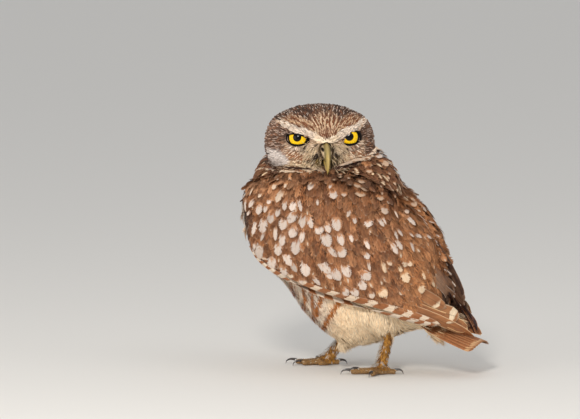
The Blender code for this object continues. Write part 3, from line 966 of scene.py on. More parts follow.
def plumage_finish(name, gloss, contrast, depth):
    """Feathers: a ground colour with spots, streaks and edges by each feather's own place across and along."""
    material = bpy.data.materials.new(name)
    material.use_nodes = True
    net = Net(material.node_tree)
    shader = material.node_tree.nodes["Principled BSDF"]

    def read(label, output="Vector"):
        return net.value("ShaderNodeAttribute", {"attribute_name": label}, {}, output=output)

    across, along, _ = net.parts(read("place"))
    spot_width, spot_length, spot_centre = net.parts(read("signs"))
    lean, pair, chance = net.parts(read("tells"))
    streak, bars, edge = net.parts(read("trims"))
    ground, mark = read("ground", "Color"), read("mark", "Color")
    off = abs(across)
    # Barbs leave the shaft slanted towards the tip, so what follows them is measured along the slant.
    slant = along - off * 0.22
    apart = net.value("ShaderNodeCombineXYZ", {}, {0: across * 1.1, 1: slant * 13, 2: chance * 37})
    barbs = net.value("ShaderNodeTexNoise", {}, {"Vector": apart, "Scale": 1.0, "Detail": 2.0})
    wide_apart = net.value("ShaderNodeCombineXYZ", {}, {0: across * 1.5, 1: along * 2.6, 2: chance * 53})
    cloud = net.value("ShaderNodeTexNoise", {}, {"Vector": wide_apart, "Scale": 1.0, "Detail": 1.0})
    beside = abs(across - lean) * (1 - pair) + abs(off - 0.45) * pair
    rough = (barbs - 0.5) * 1.1 + (cloud - 0.5) * 0.8
    long = (along - spot_centre) / spot_length
    taper = long.ramp(-1.6, 0.5) * 0.62 + 0.42 - long.ramp(0.4, 1.2) * 0.35
    wide = beside / (spot_width * taper + 0.01)
    there = spot_width.ramp(0.01, 0.03)
    sides = (wide + rough * 0.3).ramp(1.12, 0.86)
    ragged = long + rough * 1.7 + wide * wide * 0.35 - 0.15
    ends = ragged.ramp(-1.2, -0.5) * (long + rough * 0.15 + wide * wide * 0.12).ramp(1.2, 1.05)
    spotted = sides * ends * there * (1 - off.ramp(0.05, 0.015) * 0.45)
    glow = (long + rough).ramp(-3.2, -0.9) * (wide * 0.5).ramp(1.8, 0.5) * there * long.ramp(1.5, 0.9)
    streaked = (off + rough * 0.15).ramp(0.55, 0.2) * along.ramp(0.2, 0.5) * streak
    wave = ((along * bars - off * 0.3 + chance * 0.2) * 6.2832).math("SINE")
    barred = wave.ramp(0.05, 0.4) * bars.ramp(0.4, 0.6)
    rim = (off.ramp(0.8, 0.95) * along.ramp(0.3, 0.6)).math("MAXIMUM", along.ramp(0.93, 0.985))
    marked_share = spotted.math("MAXIMUM", streaked).math("MAXIMUM", barred).math("MAXIMUM", rim * edge)
    warm = net.multiply(net.mix(0.5, ground, mark), (1.0, 0.76, 0.54, 1))
    colour = net.mix(glow * 0.8, ground, warm)
    fringe = (off + rough * 0.5).ramp(0.4, 1.0) * 0.4 + along.ramp(0.8, 1.0) * 0.2
    colour = net.mix(fringe, colour, warm)
    dusk = (cloud + rough * 0.2).ramp(0.5, 0.3) * 0.35 + (off + rough * 0.3).ramp(0.35, 0.0) * 0.48
    colour = net.mix(dusk * (1 - glow), colour, net.multiply(ground, (0.42, 0.4, 0.42, 1)))
    colour = net.mix(marked_share, colour, mark)
    shade = 1 + (chance - 0.5) * contrast * 0.36 + (barbs - 0.5) * contrast * (1 - spotted * 0.5)
    # Painted shade: each feather darkens towards its root, where the feathers over it keep the light off. depth sets
    # how strong this painted shade is.
    shade = shade * (along.ramp(0.0, 0.5) * depth + 1 - depth)
    grey = net.value("ShaderNodeCombineColor", {}, {0: shade, 1: shade, 2: shade})
    colour = net.multiply(colour, grey)
    material.node_tree.links.new(colour.socket, shader.inputs["Base Color"])
    shader.inputs["Roughness"].default_value = gloss
    shader.inputs["Specular IOR Level"].default_value = 0.25
    bump = net.node("ShaderNodeBump", {}, {"Strength": 0.35, "Distance": 0.0003, "Height": barbs})
    material.node_tree.links.new(bump.outputs[0], shader.inputs["Normal"])
    return material


def quill_finish():
    """Quills: slanted bars from a place along the quill on, and a pale rim."""
    material = bpy.data.materials.new("quills")
    material.use_nodes = True
    net = Net(material.node_tree)
    shader = material.node_tree.nodes["Principled BSDF"]

    def read(label, output="Vector"):
        return net.value("ShaderNodeAttribute", {"attribute_name": label}, {}, output=output)

    across, along, _ = net.parts(read("place"))
    start, share, slope = net.parts(read("signs"))
    chance, bars, edge = net.parts(read("trims"))
    ground, mark = read("ground", "Color"), read("mark", "Color")
    off = abs(across)
    slant = along * 60 - off * 2.2
    apart = net.value("ShaderNodeCombineXYZ", {}, {0: across * 0.9, 1: slant, 2: chance * 37})
    barbs = net.value("ShaderNodeTexNoise", {}, {"Vector": apart, "Scale": 1.0, "Detail": 2.0})
    wide_apart = net.value("ShaderNodeCombineXYZ", {}, {0: across * 1.2, 1: along * 9, 2: chance * 53})
    cloud = net.value("ShaderNodeTexNoise", {}, {"Vector": wide_apart, "Scale": 1.0, "Detail": 2.0})
    turn = (along - start) * bars + across * slope + (barbs - 0.5) * 0.22 + (cloud - 0.5) * 0.4
    wave = (turn * 6.2832).math("COSINE") * 0.5 + share
    barred = wave.ramp(0.42, 0.58) * bars.ramp(0.4, 0.6) * (along + across * 0.03).ramp(start - 0.02, start + 0.02)
    rim = (off.ramp(0.84, 0.97) * along.ramp(0.4, 0.7)).math("MAXIMUM", along.ramp(0.965, 0.99)) * edge
    warm = net.multiply(net.mix(0.4, ground, mark), (1.0, 0.74, 0.5, 1))
    colour = net.mix(cloud.ramp(0.45, 0.7) * 0.4 + off.ramp(0.6, 1.0) * 0.2, ground, warm)
    colour = net.mix(barred.math("MAXIMUM", rim), colour, mark)
    shade = 1 + (barbs - 0.5) * 0.6
    shade = shade * (1 - off.ramp(0.09, 0.03) * 0.3)
    grey = net.value("ShaderNodeCombineColor", {}, {0: shade, 1: shade, 2: shade})
    material.node_tree.links.new(net.multiply(colour, grey).socket, shader.inputs["Base Color"])
    shader.inputs["Roughness"].default_value = 0.6
    shader.inputs["Specular IOR Level"].default_value = 0.3
    bump = net.node("ShaderNodeBump", {}, {"Strength": 0.35, "Distance": 0.0003, "Height": barbs})
    material.node_tree.links.new(bump.outputs[0], shader.inputs["Normal"])
    return material


def skin_finish():
    """The skin under the coat: the same markings, a little darker, and scales on the toes."""
    material = bpy.data.materials.new("skin")
    material.use_nodes = True
    net = Net(material.node_tree)
    shader = material.node_tree.nodes["Principled BSDF"]
    ground = net.value("ShaderNodeAttribute", {"attribute_name": "ground"}, {}, output="Color")
    scaly = net.value("ShaderNodeAttribute", {"attribute_name": "scaly"}, {}, output="Fac")
    here = net.value("ShaderNodeTexCoord", {}, {}, output="Object")
    cloud = net.value("ShaderNodeTexNoise", {}, {"Vector": here, "Scale": 500.0, "Detail": 3.0})
    cells = net.value(
        "ShaderNodeTexVoronoi", {"feature": "DISTANCE_TO_EDGE"}, {"Vector": here, "Scale": 900.0}, output="Distance"
    )
    seam = cells.ramp(0.2, 0.04) * scaly
    shade = (cloud - 0.5) * 0.5 + 1 - seam * 0.45
    grey = net.value("ShaderNodeCombineColor", {}, {0: shade, 1: shade, 2: shade})
    material.node_tree.links.new(net.multiply(ground, grey).socket, shader.inputs["Base Color"])
    shader.inputs["Roughness"].default_value = 0.7
    height = cloud * 0.3 - seam
    bump = net.node("ShaderNodeBump", {}, {"Strength": 0.5, "Distance": 0.0003, "Height": height})
    material.node_tree.links.new(bump.outputs[0], shader.inputs["Normal"])
    return material


# The last number of each finish is the strength of the painted shade at the feathers' roots.
PLUMAGE = plumage_finish("plumage", 0.72, 0.55, 0.45)
DOWN = plumage_finish("down", 0.85, 0.25, 0.16)
QUILLS = quill_finish()


def curve(rows, count):
    """A smooth path of this many points through all the rows, spaced evenly by share."""
    rows = np.array(rows, float)
    ends = np.vstack([2 * rows[0] - rows[1], rows, 2 * rows[-1] - rows[-2]])
    places = np.linspace(0, len(rows) - 1, count)
    k = np.minimum(places.astype(int), len(rows) - 2)
    t = (places - k)[:, None]
    a, b, c, d = ends[k], ends[k + 1], ends[k + 2], ends[k + 3]
    return 0.5 * (2 * b + (c - a) * t + (2 * a - 5 * b + 4 * c - d) * t**2 + (3 * b - a - 3 * c + d) * t**3)


# Colours of each place.


def tone(red, green, blue):
    return np.array(linear(red, green, blue))


def grain(points, size, seed):
    """A smooth random value from -1 to 1 at each place, which changes over about this size."""
    rng = np.random.default_rng(seed)
    ways = unit(rng.normal(size=(9, 3))) * (6.2832 / size) * rng.uniform(0.6, 1.6, (9, 1))
    return np.clip(np.sin(points @ ways.T + rng.uniform(0, 6.2832, 9)).sum(1) / 2.6, -1, 1)


def mound(x, z, centre, sizes):
    return np.exp(-(((x - centre[0]) / sizes[0]) ** 2 + ((z - centre[1]) / sizes[1]) ** 2))


class Tints:
    """Ground colours, mark colours and strengths of streaks, laid over one another in shares."""

    def __init__(self, count, ground, mark, streak):
        self.ground = np.tile(tone(*ground), (count, 1))
        self.mark = np.tile(tone(*mark), (count, 1))
        self.streak = np.full(count, float(streak))

    def over(self, share, ground, mark=None, streak=None):
        self.ground = blend(self.ground, tone(*ground), share)
        if mark is not None:
            self.mark = blend(self.mark, tone(*mark), share)
        if streak is not None:
            self.streak = self.streak + (streak - self.streak) * share
        return self


def head_tints(local):
    """Colours of the head's feathers by their place on the face, and how many of them have a pale streak."""
    x, y, z = np.abs(local[:, 0]), local[:, 1], local[:, 2]
    front = step(-y, 2, 14)
    soft = grain(local, 5, 1)
    fine = grain(local, 2.2, 5)
    brow_top = np.interp(x, BROW_ROWS[:, 0], BROW_ROWS[:, 2])
    tints = Tints(len(x), (56, 40, 34), (196, 178, 164), 0.3)
    tints.over(step(fine, 0, 0.9) * 0.6, (124, 78, 54))
    # The forehead's rays and the stripes over the brow.
    ray_reach = np.hypot(x, z - 3)
    ray_angle = np.arctan2(local[:, 0], z - 3)
    ray = step(np.cos(ray_angle * 40 + 1.5 * grain(local, 4, 2)), -0.2, 0.5)
    fan = step(ray_reach, 5, 7) * (1 - step(ray_reach, 15, 21)) * (1 - step(np.abs(ray_angle), 1.15, 1.45))
    fan = fan * front * (z > 4)
    tints.over(fan, (118, 68, 42), (222, 194, 164), 0.1)
    tints.over(fan * ray, (214, 184, 150))
    stripe = step(np.cos((z - brow_top) * 3.4 + 2 * soft), 0.2, 0.8)
    over_brow = step(z - brow_top, -0.8, 0) * (1 - step(z - brow_top, 3.5, 6.5)) * step(x, 9, 13) * front
    tints.over(over_brow * 0.9, (122, 72, 46), (226, 196, 164), 0.16)
    tints.over(over_brow * stripe * 0.7, (212, 178, 142))
    # Sides of the face.
    temple = step(x, 21, 25) * step(z, -6, -1) * (1 - step(z - brow_top, -3, -1)) * step(-y, -18, -2)
    tints.over(temple, (92, 68, 56), (184, 162, 146), 0.42)
    tints.over(temple * step(fine, 0.2, 0.8) * 0.7, (142, 98, 72))
    below = step(-z, -8, -3) * front * (1 - step(x, 24, 28))
    tints.over(below, (192, 162, 134), (232, 212, 188), 0.55)
    tints.over(below * step(-fine, 0.1, 0.6), (150, 106, 70))
    under = step(-z, -6, -3) * (1 - step(-z, 1, 4)) * step(x, 11, 14) * (1 - step(x, 22, 26)) * front
    tints.over(under, (206, 184, 164), (236, 218, 198), 0.4)
    tints.over(under * step(fine, 0.3, 0.8), (138, 104, 82))
    cheek = mound(x, z, (20, -6), (9, 4)) * front
    cheek_stripe = step(np.cos((z - 0.42 * x) * 2.3 + 1.5 * soft), -0.1, 0.5)
    tints.over(np.minimum(cheek * 1.6, 1) * cheek_stripe, (146, 98, 68), None, 0.1)
    low_cheek = mound(x, z, (16, -11), (9, 3)) * front
    tints.over(low_cheek * step(soft + fine, -0.9, 0.3), (232, 206, 168), (240, 222, 192))
    # Round the bill.
    lores = mound(x, z, (6, -1), (5.5, 5.5)) * front
    tints.over(np.minimum(lores * 1.3, 1), (180, 158, 132), (220, 200, 176), 0.5)
    tints.over(np.minimum(1.4 * mound(x, z, (5, -9), (3.6, 4)) * front, 1), (104, 86, 46), (160, 136, 84), 0.4)
    tints.over(np.minimum(1.4 * mound(x, z, (7.2, -4.6), (3.6, 1.8)) * front, 1), (44, 32, 24), (96, 74, 52), 0.2)
    tints.over(mound(x, z, (9.5, -12.5), (3, 2.2)) * front, (236, 216, 184), (240, 228, 204))
    tear = np.minimum(1.4 * mound(x + 0.5 * (z - 1), z, (14, 1.2), (1.2, 2.8)) * front, 1)
    tints.over(tear, (52, 38, 30), (90, 70, 56), 0.1)
    # White patch of the cheek, the barred lower rim, and the brow with the frown over it.
    chin = step(-z, 7, 9) * (1 - step(-z, 12.5, 13.5)) * step(x, 4, 7) * (1 - step(x, 20, 25)) * front
    chin_stripe = step(np.cos((z - 0.5 * x) * 2.4 + 1.2 * soft), -0.2, 0.3)
    tints.over(chin * chin_stripe, (240, 216, 180), (246, 230, 204), 0.1)
    tints.over(chin * (1 - chin_stripe) * 0.8, (118, 76, 46), None, 0.1)
    rim = step(-z, 12.6, 14) * front
    tints.over(rim, (92, 56, 38), (214, 176, 136), 0.35)
    white = step(x - 0.9 * (z + 3), 26, 28.5) * step(x, 22, 25) * step(-z, 0.5, 3) * step(z + 0.3 * (x - 28), -12.5, -10.5) * step(-y, -2, 5) * (local[:, 0] < 0)
    tints.over(white, (208, 198, 192), (222, 214, 208))
    brow = brow_share(local) * step(fine + 3 * brow_share(local), 1.2, 2.4)
    tints.over(brow, (228, 210, 192), (240, 228, 212), 0.2)
    tints.over(brow * (1 - step(x, 6, 10)), (248, 226, 196))
    tints.over(brow * step(x, 17, 27) * step(fine, 0.0, 0.8), (176, 138, 106))
    frown = np.minimum(1.5 * mound(x, z, (0, 11.4), (5.5, 2.6)), 1) * front * (1 - brow)
    tints.over(frown * 0.8, (122, 78, 56), (206, 172, 138), 0.45)
    return tints


# Brown bars of the flank in the side view, each with its half width.
FLANK_BARS = (
    (((294, 281), (296, 290), (298, 299)), 1.3), (((306, 286), (308, 297), (307, 310)), 1.5),
    (((315, 290), (316, 306), (317, 321)), 1.4), (((325, 294), (322, 305), (319, 316)), 1.8),
    (((343, 299), (337, 308), (331, 318), (326, 328)), 2.3), (((299, 305), (303, 314), (309, 323)), 1.0),
)


def flank_bar(view):
    """How strongly the brown bars of the flank show, by the place in the side view."""
    share = np.zeros(len(view))
    for rows, half in FLANK_BARS:
        path = curve(rows, 14)
        off = np.full(len(view), 1e9)
        for spot in path:
            off = np.minimum(off, np.linalg.norm(view - spot, axis=1))
        share = np.maximum(share, step(-off, -half - 0.9, -half + 0.3))
    return share


def body_tints(points, owner):
    """Colours of the rest of the body."""
    mirrored = points * (0, 1, 1) + np.abs(points) * (1, 0, 0)
    view = side_view(mirrored)
    across, down = view.T
    soft, fine = grain(points, 16, 3), grain(points, 5, 4)
    tints = Tints(len(points), (128, 83, 53), (190, 172, 152), 0)
    tints.over(mound(across, down, (362, 230), (36, 42)), (132, 86, 54))
    tints.over(step(across, 392, 410) * 0.9, (168, 114, 72))
    tints.over(step(-down, -196, -176) * step(across, 300, 325), (100, 72, 54))
    tints.over(step(-down, -206, -190) * (1 - step(across, 285, 315)), (168, 122, 88))
    tints.over(step(across, 436, 450) * 0.5, (128, 94, 70))
    tints.over(step(soft, 0.0, 0.8) * 0.35, (160, 110, 74))
    tints.over(step(fine, 0.1, 0.8) * (0.65 - 0.35 * step(across, 340, 365)), (176, 124, 84))
    tints.over(step(-fine, 0.1, 0.8) * 0.5, (92, 60, 42))
    # Painted shade: the feathers along the wing's front edge, left of about 250 and below about 210 in the side view,
    # are darkened almost to black-brown.
    tints.over(step(-across, -256, -248) * step(down, 205, 215), (62, 42, 34))
    neck = owner == NECK
    tints.over(neck * 1.0, (112, 72, 48), (226, 200, 166), 0.5)
    pale = is_belly(points, owner) * 1.0
    tints.over(pale, (253, 232, 198))
    tints.over(pale * (1 - step(across, 318, 345)), (250, 238, 222))
    tints.over(pale * flank_bar(view), (192, 124, 66))
    tints.over(pale * step(points[:, 1], 44, 54) * step(points[:, 2], 35, 40), (84, 60, 47))
    tints.over(is_leg(points, owner) * 1.0, (150, 110, 60))
    foot = (owner == FOOT_LEFT) | (owner == FOOT_RIGHT)
    tints.over(foot * 1.0, (164, 124, 76))
    return tints


def is_mantle(points, owner):
    """The back between the wings, and the top of the tail's root."""
    high = points[:, 2] > 62 - 0.1 * points[:, 1]
    on_tail = (owner == TAIL) & (points[:, 2] > 44 - 0.32 * (points[:, 1] - 38))
    return ((owner == TRUNK) & high & (points[:, 1] > 0)) | on_tail


def is_leg(points, owner):
    """The shanks, and the lower ends of the thighs that are as short feathered as the shanks."""
    ahead = points[:, 1] - np.where(owner == THIGH_LEFT, KNEES["thigh_left"][1], KNEES["thigh_right"][1])
    thigh = (owner == THIGH_LEFT) | (owner == THIGH_RIGHT)
    low = (points[:, 2] < 29 + 0.6 * ahead) & (ahead > -7)
    return (owner == SHANK_LEFT) | (owner == SHANK_RIGHT) | (thigh & low)


def is_belly(points, owner):
    trunk = (owner == TRUNK) | (owner == TAIL)
    thigh = (owner == THIGH_LEFT) | (owner == THIGH_RIGHT)
    return (trunk & ~is_mantle(points, owner)) | (thigh & ~is_leg(points, owner))


def tints_at(points, owner):
    """Colours at these places of the coat, whatever part they are on."""
    head, body = head_tints(to_face(points)), body_tints(points, owner)
    on_head = (owner == HEAD).astype(float)
    for label in ("ground", "mark"):
        setattr(body, label, blend(getattr(body, label), getattr(head, label), on_head))
    body.streak = body.streak * (1 - on_head) + head.streak * on_head
    return body


def paint_skin():
    tints = tints_at(skin_points, skin_owner)
    store(skin.data, "ground", tints.ground * 0.85)
    scaly = np.where((skin_owner == FOOT_LEFT) | (skin_owner == FOOT_RIGHT), 1.0, 0.0)
    layer = skin.data.attributes.new("scaly", "FLOAT", "POINT")
    layer.data.foreach_set("value", scaly.astype(np.float32))
    skin.data.materials.append(skin_finish())


paint_skin()


def jittered(tract, ahead, amount):
    """The lie of each feather turned a little about the skin's normal at random."""
    turn = (tract.random[:, 5] - 0.5) * 2 * amount
    side = np.cross(ahead, tract.out)
    return unit(ahead + side * turn[:, None])


def tip_places(tract, ahead, length, share=0.75):
    flat = unit(ahead - tract.out * (ahead * tract.out).sum(1, keepdims=True))
    return tract.place + flat * (np.asarray(length) * share)[:, None]


def varied(ground, chance, amount):
    return ground * (1 - amount + 2 * amount * chance[:, None])


# Tracts of the head and neck.


def over_eye_or_bill(local):
    """Where no feather roots: inside the lids and under the bill."""
    bare = (np.abs(local[:, 0]) < 2.2) & (np.abs(local[:, 2] + 4.5) < 6.4) & (local[:, 1] < -14)
    for side in (1, -1):
        middle, out, up, ahead = eye_frame(side)
        way = unit(local - middle)
        open_by = beyond_lids(side, way @ out * EYE_RADIUS, way @ up * EYE_RADIUS)
        bare |= (open_by < 1.0) & (way @ ahead > 0.2)
    return bare


def front_share(local):
    """1 on the face and forehead and 0 on the crown and nape."""
    return step(-local[:, 1], 6, 18)


def grow_head():
    small = shapes("small_vanes", vane, SEED, barbs=4, base=0.5, tip=0.5, notch=0.2, splits=0.1)

    def inside(points, owner):
        return (owner == HEAD) & ~over_eye_or_bill(to_face(points))

    def spacing(points, owner):
        local = to_face(points)
        return 1.0 - 0.15 * front_share(local) - 0.08 * brow_share(local)

    tract = scatter(inside, spacing, SEED + 1)
    local = to_face(tract.place)
    size = spacing(tract.place, tract.owner)
    length = size * (3.4 + 0.8 * tract.random[:, 6])
    ahead = jittered(tract, lie(tract.place, tract.owner), 0.2)
    tints = tints_at(tip_places(tract, ahead, length), tract.owner)
    streak = np.where(tract.random[:, 2] < tints.streak, 0.95, 0.0)
    beside = 0.5 * step(np.abs(local[:, 0]), 20, 28)
    lay(tract, ahead, length, size * 1.25, tract.depth * (0.75 + beside + 0.45 * tract.random[:, 7]))
    marked(tract, varied(tints.ground, tract.random[:, 1], 0.2), tints.mark, streak=streak)
    front = to_face(tract.place)[:, 1] < -6
    grow("face_feathers", tract.only(front), small, PLUMAGE)
    grow("crown_feathers", tract.only(~front), small, PLUMAGE)


def grow_bristles():
    """Fine bristles that hide the bill's root and fan out over the cheeks."""
    thin = shapes("bristles", tuft, SEED + 2, strands=4, spread_out=0.22, thick=0.02, segments=4, curl=0.15)

    def inside(points, owner):
        local = to_face(points)
        x, y, z = np.abs(local[:, 0]), local[:, 1], local[:, 2]
        return (owner == HEAD) & (y < -15) & (x > 2) & (x < 13) & (z > -14) & (z < 5) & ~over_eye_or_bill(local)

    tract = scatter(inside, lambda p, o: np.full(len(p), 0.85), SEED + 9)
    local = to_face(tract.place)
    x, z = local[:, 0], local[:, 2]
    down = np.stack([np.sign(x) * (0.35 + 0.06 * np.abs(x)), -0.35 + 0 * x, -0.8 + 0.05 * z], 1)
    ahead = jittered(tract, unit(down @ TURN.T), 0.3)
    length = 4.0 + 2.8 * tract.random[:, 6]
    near = mound(np.abs(x), z, (6.4, -5.2), (2.6, 2.2)) + 0.5 * mound(np.abs(x), z, (4, -9), (2, 4))
    dark = tract.random[:, 1] < 0.18 + 0.75 * near
    olive = (tract.random[:, 2] < 0.35)[:, None]
    ground = np.where(dark[:, None], np.where(olive, tone(96, 80, 42), tone(46, 34, 26)), tone(212, 190, 156))
    lay(tract, ahead, length, length, 0.9 + 1.3 * tract.random[:, 7])
    marked(tract, ground)
    return grow("bill_bristles", tract, thin, PLUMAGE)


def grow_neck():
    kinds = shapes("neck_vanes", vane, SEED + 3, barbs=7, notch=0.16)
    tract = scatter(lambda p, o: o == NECK, lambda p, o: np.full(len(p), 2.5), SEED + 2)
    across, down = side_view(tract.place).T
    length = (7.5 + 2 * tract.random[:, 6]) * (1 - 0.5 * step(across, 362, 372) * step(-down, -162, -154))
    ahead = jittered(tract, lie(tract.place, tract.owner), 0.2)
    tints = tints_at(tip_places(tract, ahead, length), tract.owner)
    spot = np.where(tract.random[:, 1] < 0.1, 0.5, 0.0)
    streak = np.where(tract.random[:, 2] < 0.22, 0.8, 0.0)
    lay(tract, ahead, length, 4.0, tract.depth * (0.85 + 0.3 * tract.random[:, 7]))
    marked(tract, varied(tints.ground, tract.random[:, 4], 0.25), tints.mark, spot_width=spot, spot_length=0.13,
           spot_centre=0.82, lean=(tract.random[:, 3] - 0.5) * 0.8, streak=streak)
    return grow("neck_feathers", tract, kinds, PLUMAGE)


# Lines in the side view where the face meets the neck and shoulders: each line's path, its lift, how many of its
# feathers are pale, and its pale and dark colours.
# The mostly dark lines right under the face's lower edge are partly the collar's own dark brown and partly painted
# shadow cast by the face's edge.
COLLAR = (
    (((327, 174.5), (312, 172.5), (296, 171.5), (280, 170.5), (266, 171), (254, 173)), 2.4, 0.8,
     (222, 202, 178), (150, 100, 66)),
    (((321, 171.5), (307, 168.5), (293, 166.8), (283, 165), (275, 163.5), (267, 160)), 2.0, 0.05,
     (200, 176, 150), (66, 44, 34)),
    (((331, 173.5), (338, 169), (346, 165.5), (356, 163), (366, 160)), 2.4, 0.25, (214, 188, 158), (70, 46, 36)),
    (((338, 168), (347, 164), (356, 161.5), (366, 159.5), (373, 155.5), (379, 151)), 2.6, 0.0,
     (214, 188, 158), (54, 36, 30)),
    (((336, 166), (345, 161.5), (355, 158.5), (365, 156.5), (372, 151.5), (377, 147.5)), 3.6, 0.9,
     (224, 206, 186), (150, 110, 82)),
)


def grow_collar():
    """The pale and dark lines between the face and the shoulders: thin feathers that lie along them."""
    kinds = shapes("collar_tufts", tuft, SEED + 4, strands=5, spread_out=0.07, thick=0.045, segments=3, curl=0.04)
    places, ways, grounds, lifts = [], [], [], []
    rng = np.random.default_rng(SEED + 14)
    for rows, lift, share, light, dark in COLLAR:
        path = curve(rows, 56)
        on, _ = from_side(path, skin_tree)
        places.append(on)
        ways.append(unit(np.gradient(on, axis=0)))
        pale = rng.random((len(path), 1)) < share
        # On the mostly dark lines, the dark colour holds painted shadow from the face's edge as well as the collar's
        # own brown.
        grounds.append(np.where(pale, tone(*light), tone(*dark)))
        lifts.append(np.full(len(path), lift))
    tract = roots_at(np.concatenate(places), SEED + 12)
    ahead = jittered(tract, np.concatenate(ways) + (0, 0, -0.1), 0.08)
    length = 5 + 2.5 * tract.random[:, 6]
    lay(tract, ahead, length, length, np.concatenate(lifts) + 1.2 * tract.random[:, 7])
    marked(tract, np.concatenate(grounds))
    return grow("collar_feathers", tract, kinds, PLUMAGE, "pale_plumage")


# Pale spots of the left side, each at the tip of its own feather: across and down in the side view, width and length.
SPOTS = (
    (257, 183, 4, 8), (281, 178, 4, 5), (291, 178, 4, 5), (304, 178, 3, 5), (246, 187, 3, 7), (262, 197, 4, 4),
    (271, 203, 5, 4), (279, 184, 2, 3), (276, 189, 5, 5), (287, 190, 3, 7), (281, 198, 7, 10), (286, 207, 5, 8),
    (294, 208, 7, 7), (301, 207, 4, 10), (254, 204, 5, 7), (249, 205, 3, 10), (261, 211, 7, 7), (268, 210, 4, 6),
    (252, 213, 3, 5), (273, 219, 7, 8), (279, 214, 5, 6), (248, 219, 4, 9), (257, 227, 5, 12), (265, 226, 9, 12),
    (285, 225, 9, 9), (293, 218, 9, 10), (250, 235, 4, 10), (277, 234, 4, 10), (265, 236, 3, 8), (294, 233, 9, 8),
    (304, 222, 6, 11), (311, 223, 6, 10), (320, 231, 11, 6), (328, 229, 6, 8), (337, 225, 8, 11), (303, 237, 5, 9),
    (284, 240, 7, 9), (280, 249, 8, 9), (297, 246, 9, 13), (327, 240, 10, 12), (341, 240, 6, 10), (333, 252, 5, 10),
    (342, 253, 10, 7), (262, 250, 9, 13), (254, 246, 4, 6), (274, 261, 10, 13), (289, 258, 7, 12), (286, 269, 9, 7),
    (296, 266, 6, 8), (307, 267, 10, 13), (325, 266, 8, 14), (337, 273, 9, 11), (346, 270, 8, 11), (330, 274, 5, 7),
    (318, 279, 5, 8), (304, 279, 8, 6), (312, 189, 6, 7), (330, 189, 3, 4), (333, 197, 8, 7), (318, 204, 3, 5),
    (344, 197, 5, 3), (348, 215, 4, 6), (354, 222, 4, 5), (367, 225, 10, 5), (379, 224, 4, 8), (382, 222, 2, 7),
    (393, 236, 3, 8), (397, 234, 3, 7), (392, 249, 5, 10), (397, 246, 5, 8), (366, 245, 4, 8), (366, 256, 6, 5),
    (368, 266, 3, 7), (351, 239, 4, 6), (382, 213, 8, 6), (393, 216, 2, 7), (378, 201, 7, 4), (359, 197, 11, 4),
    (356, 189, 8, 3), (363, 192, 9, 3), (359, 185, 8, 3), (355, 179, 6, 2), (347, 184, 3, 3), (340, 179, 4, 2),
    (366, 167, 10, 5), (368, 175, 6, 4), (383, 167, 8, 6), (386, 177, 3, 3), (385, 181, 3, 3), (391, 185, 3, 3),
    (380, 185, 2, 4), (386, 189, 2, 5), (378, 190, 3, 3), (400, 190, 3, 4), (395, 195, 2, 3), (403, 199, 3, 4),
    (397, 202, 2, 4), (379, 196, 2, 4), (386, 205, 4, 3), (391, 199, 2, 3), (412, 196, 4, 6), (419, 203, 5, 6),
    (412, 207, 7, 5), (403, 214, 6, 4), (411, 202, 3, 5), (408, 223, 6, 9), (417, 221, 2, 7), (421, 225, 2, 6),
    (434, 221, 2, 8), (415, 237, 4, 6), (408, 236, 2, 5), (425, 238, 3, 5), (432, 243, 3, 5), (436, 246, 3, 4),
    (437, 236, 2, 5), (409, 248, 3, 8), (435, 253, 4, 5), (402, 264, 6, 5), (407, 264, 5, 4), (398, 269, 4, 5),
    (388, 263, 4, 4), (382, 267, 4, 9), (403, 277, 8, 9), (383, 291, 9, 7), (420, 275, 3, 6), (366, 275, 11, 8),
    (362, 284, 8, 8), (355, 290, 8, 7), (346, 290, 8, 6), (418, 288, 9, 6), (428, 283, 4, 7), (371, 293, 6, 5),
)


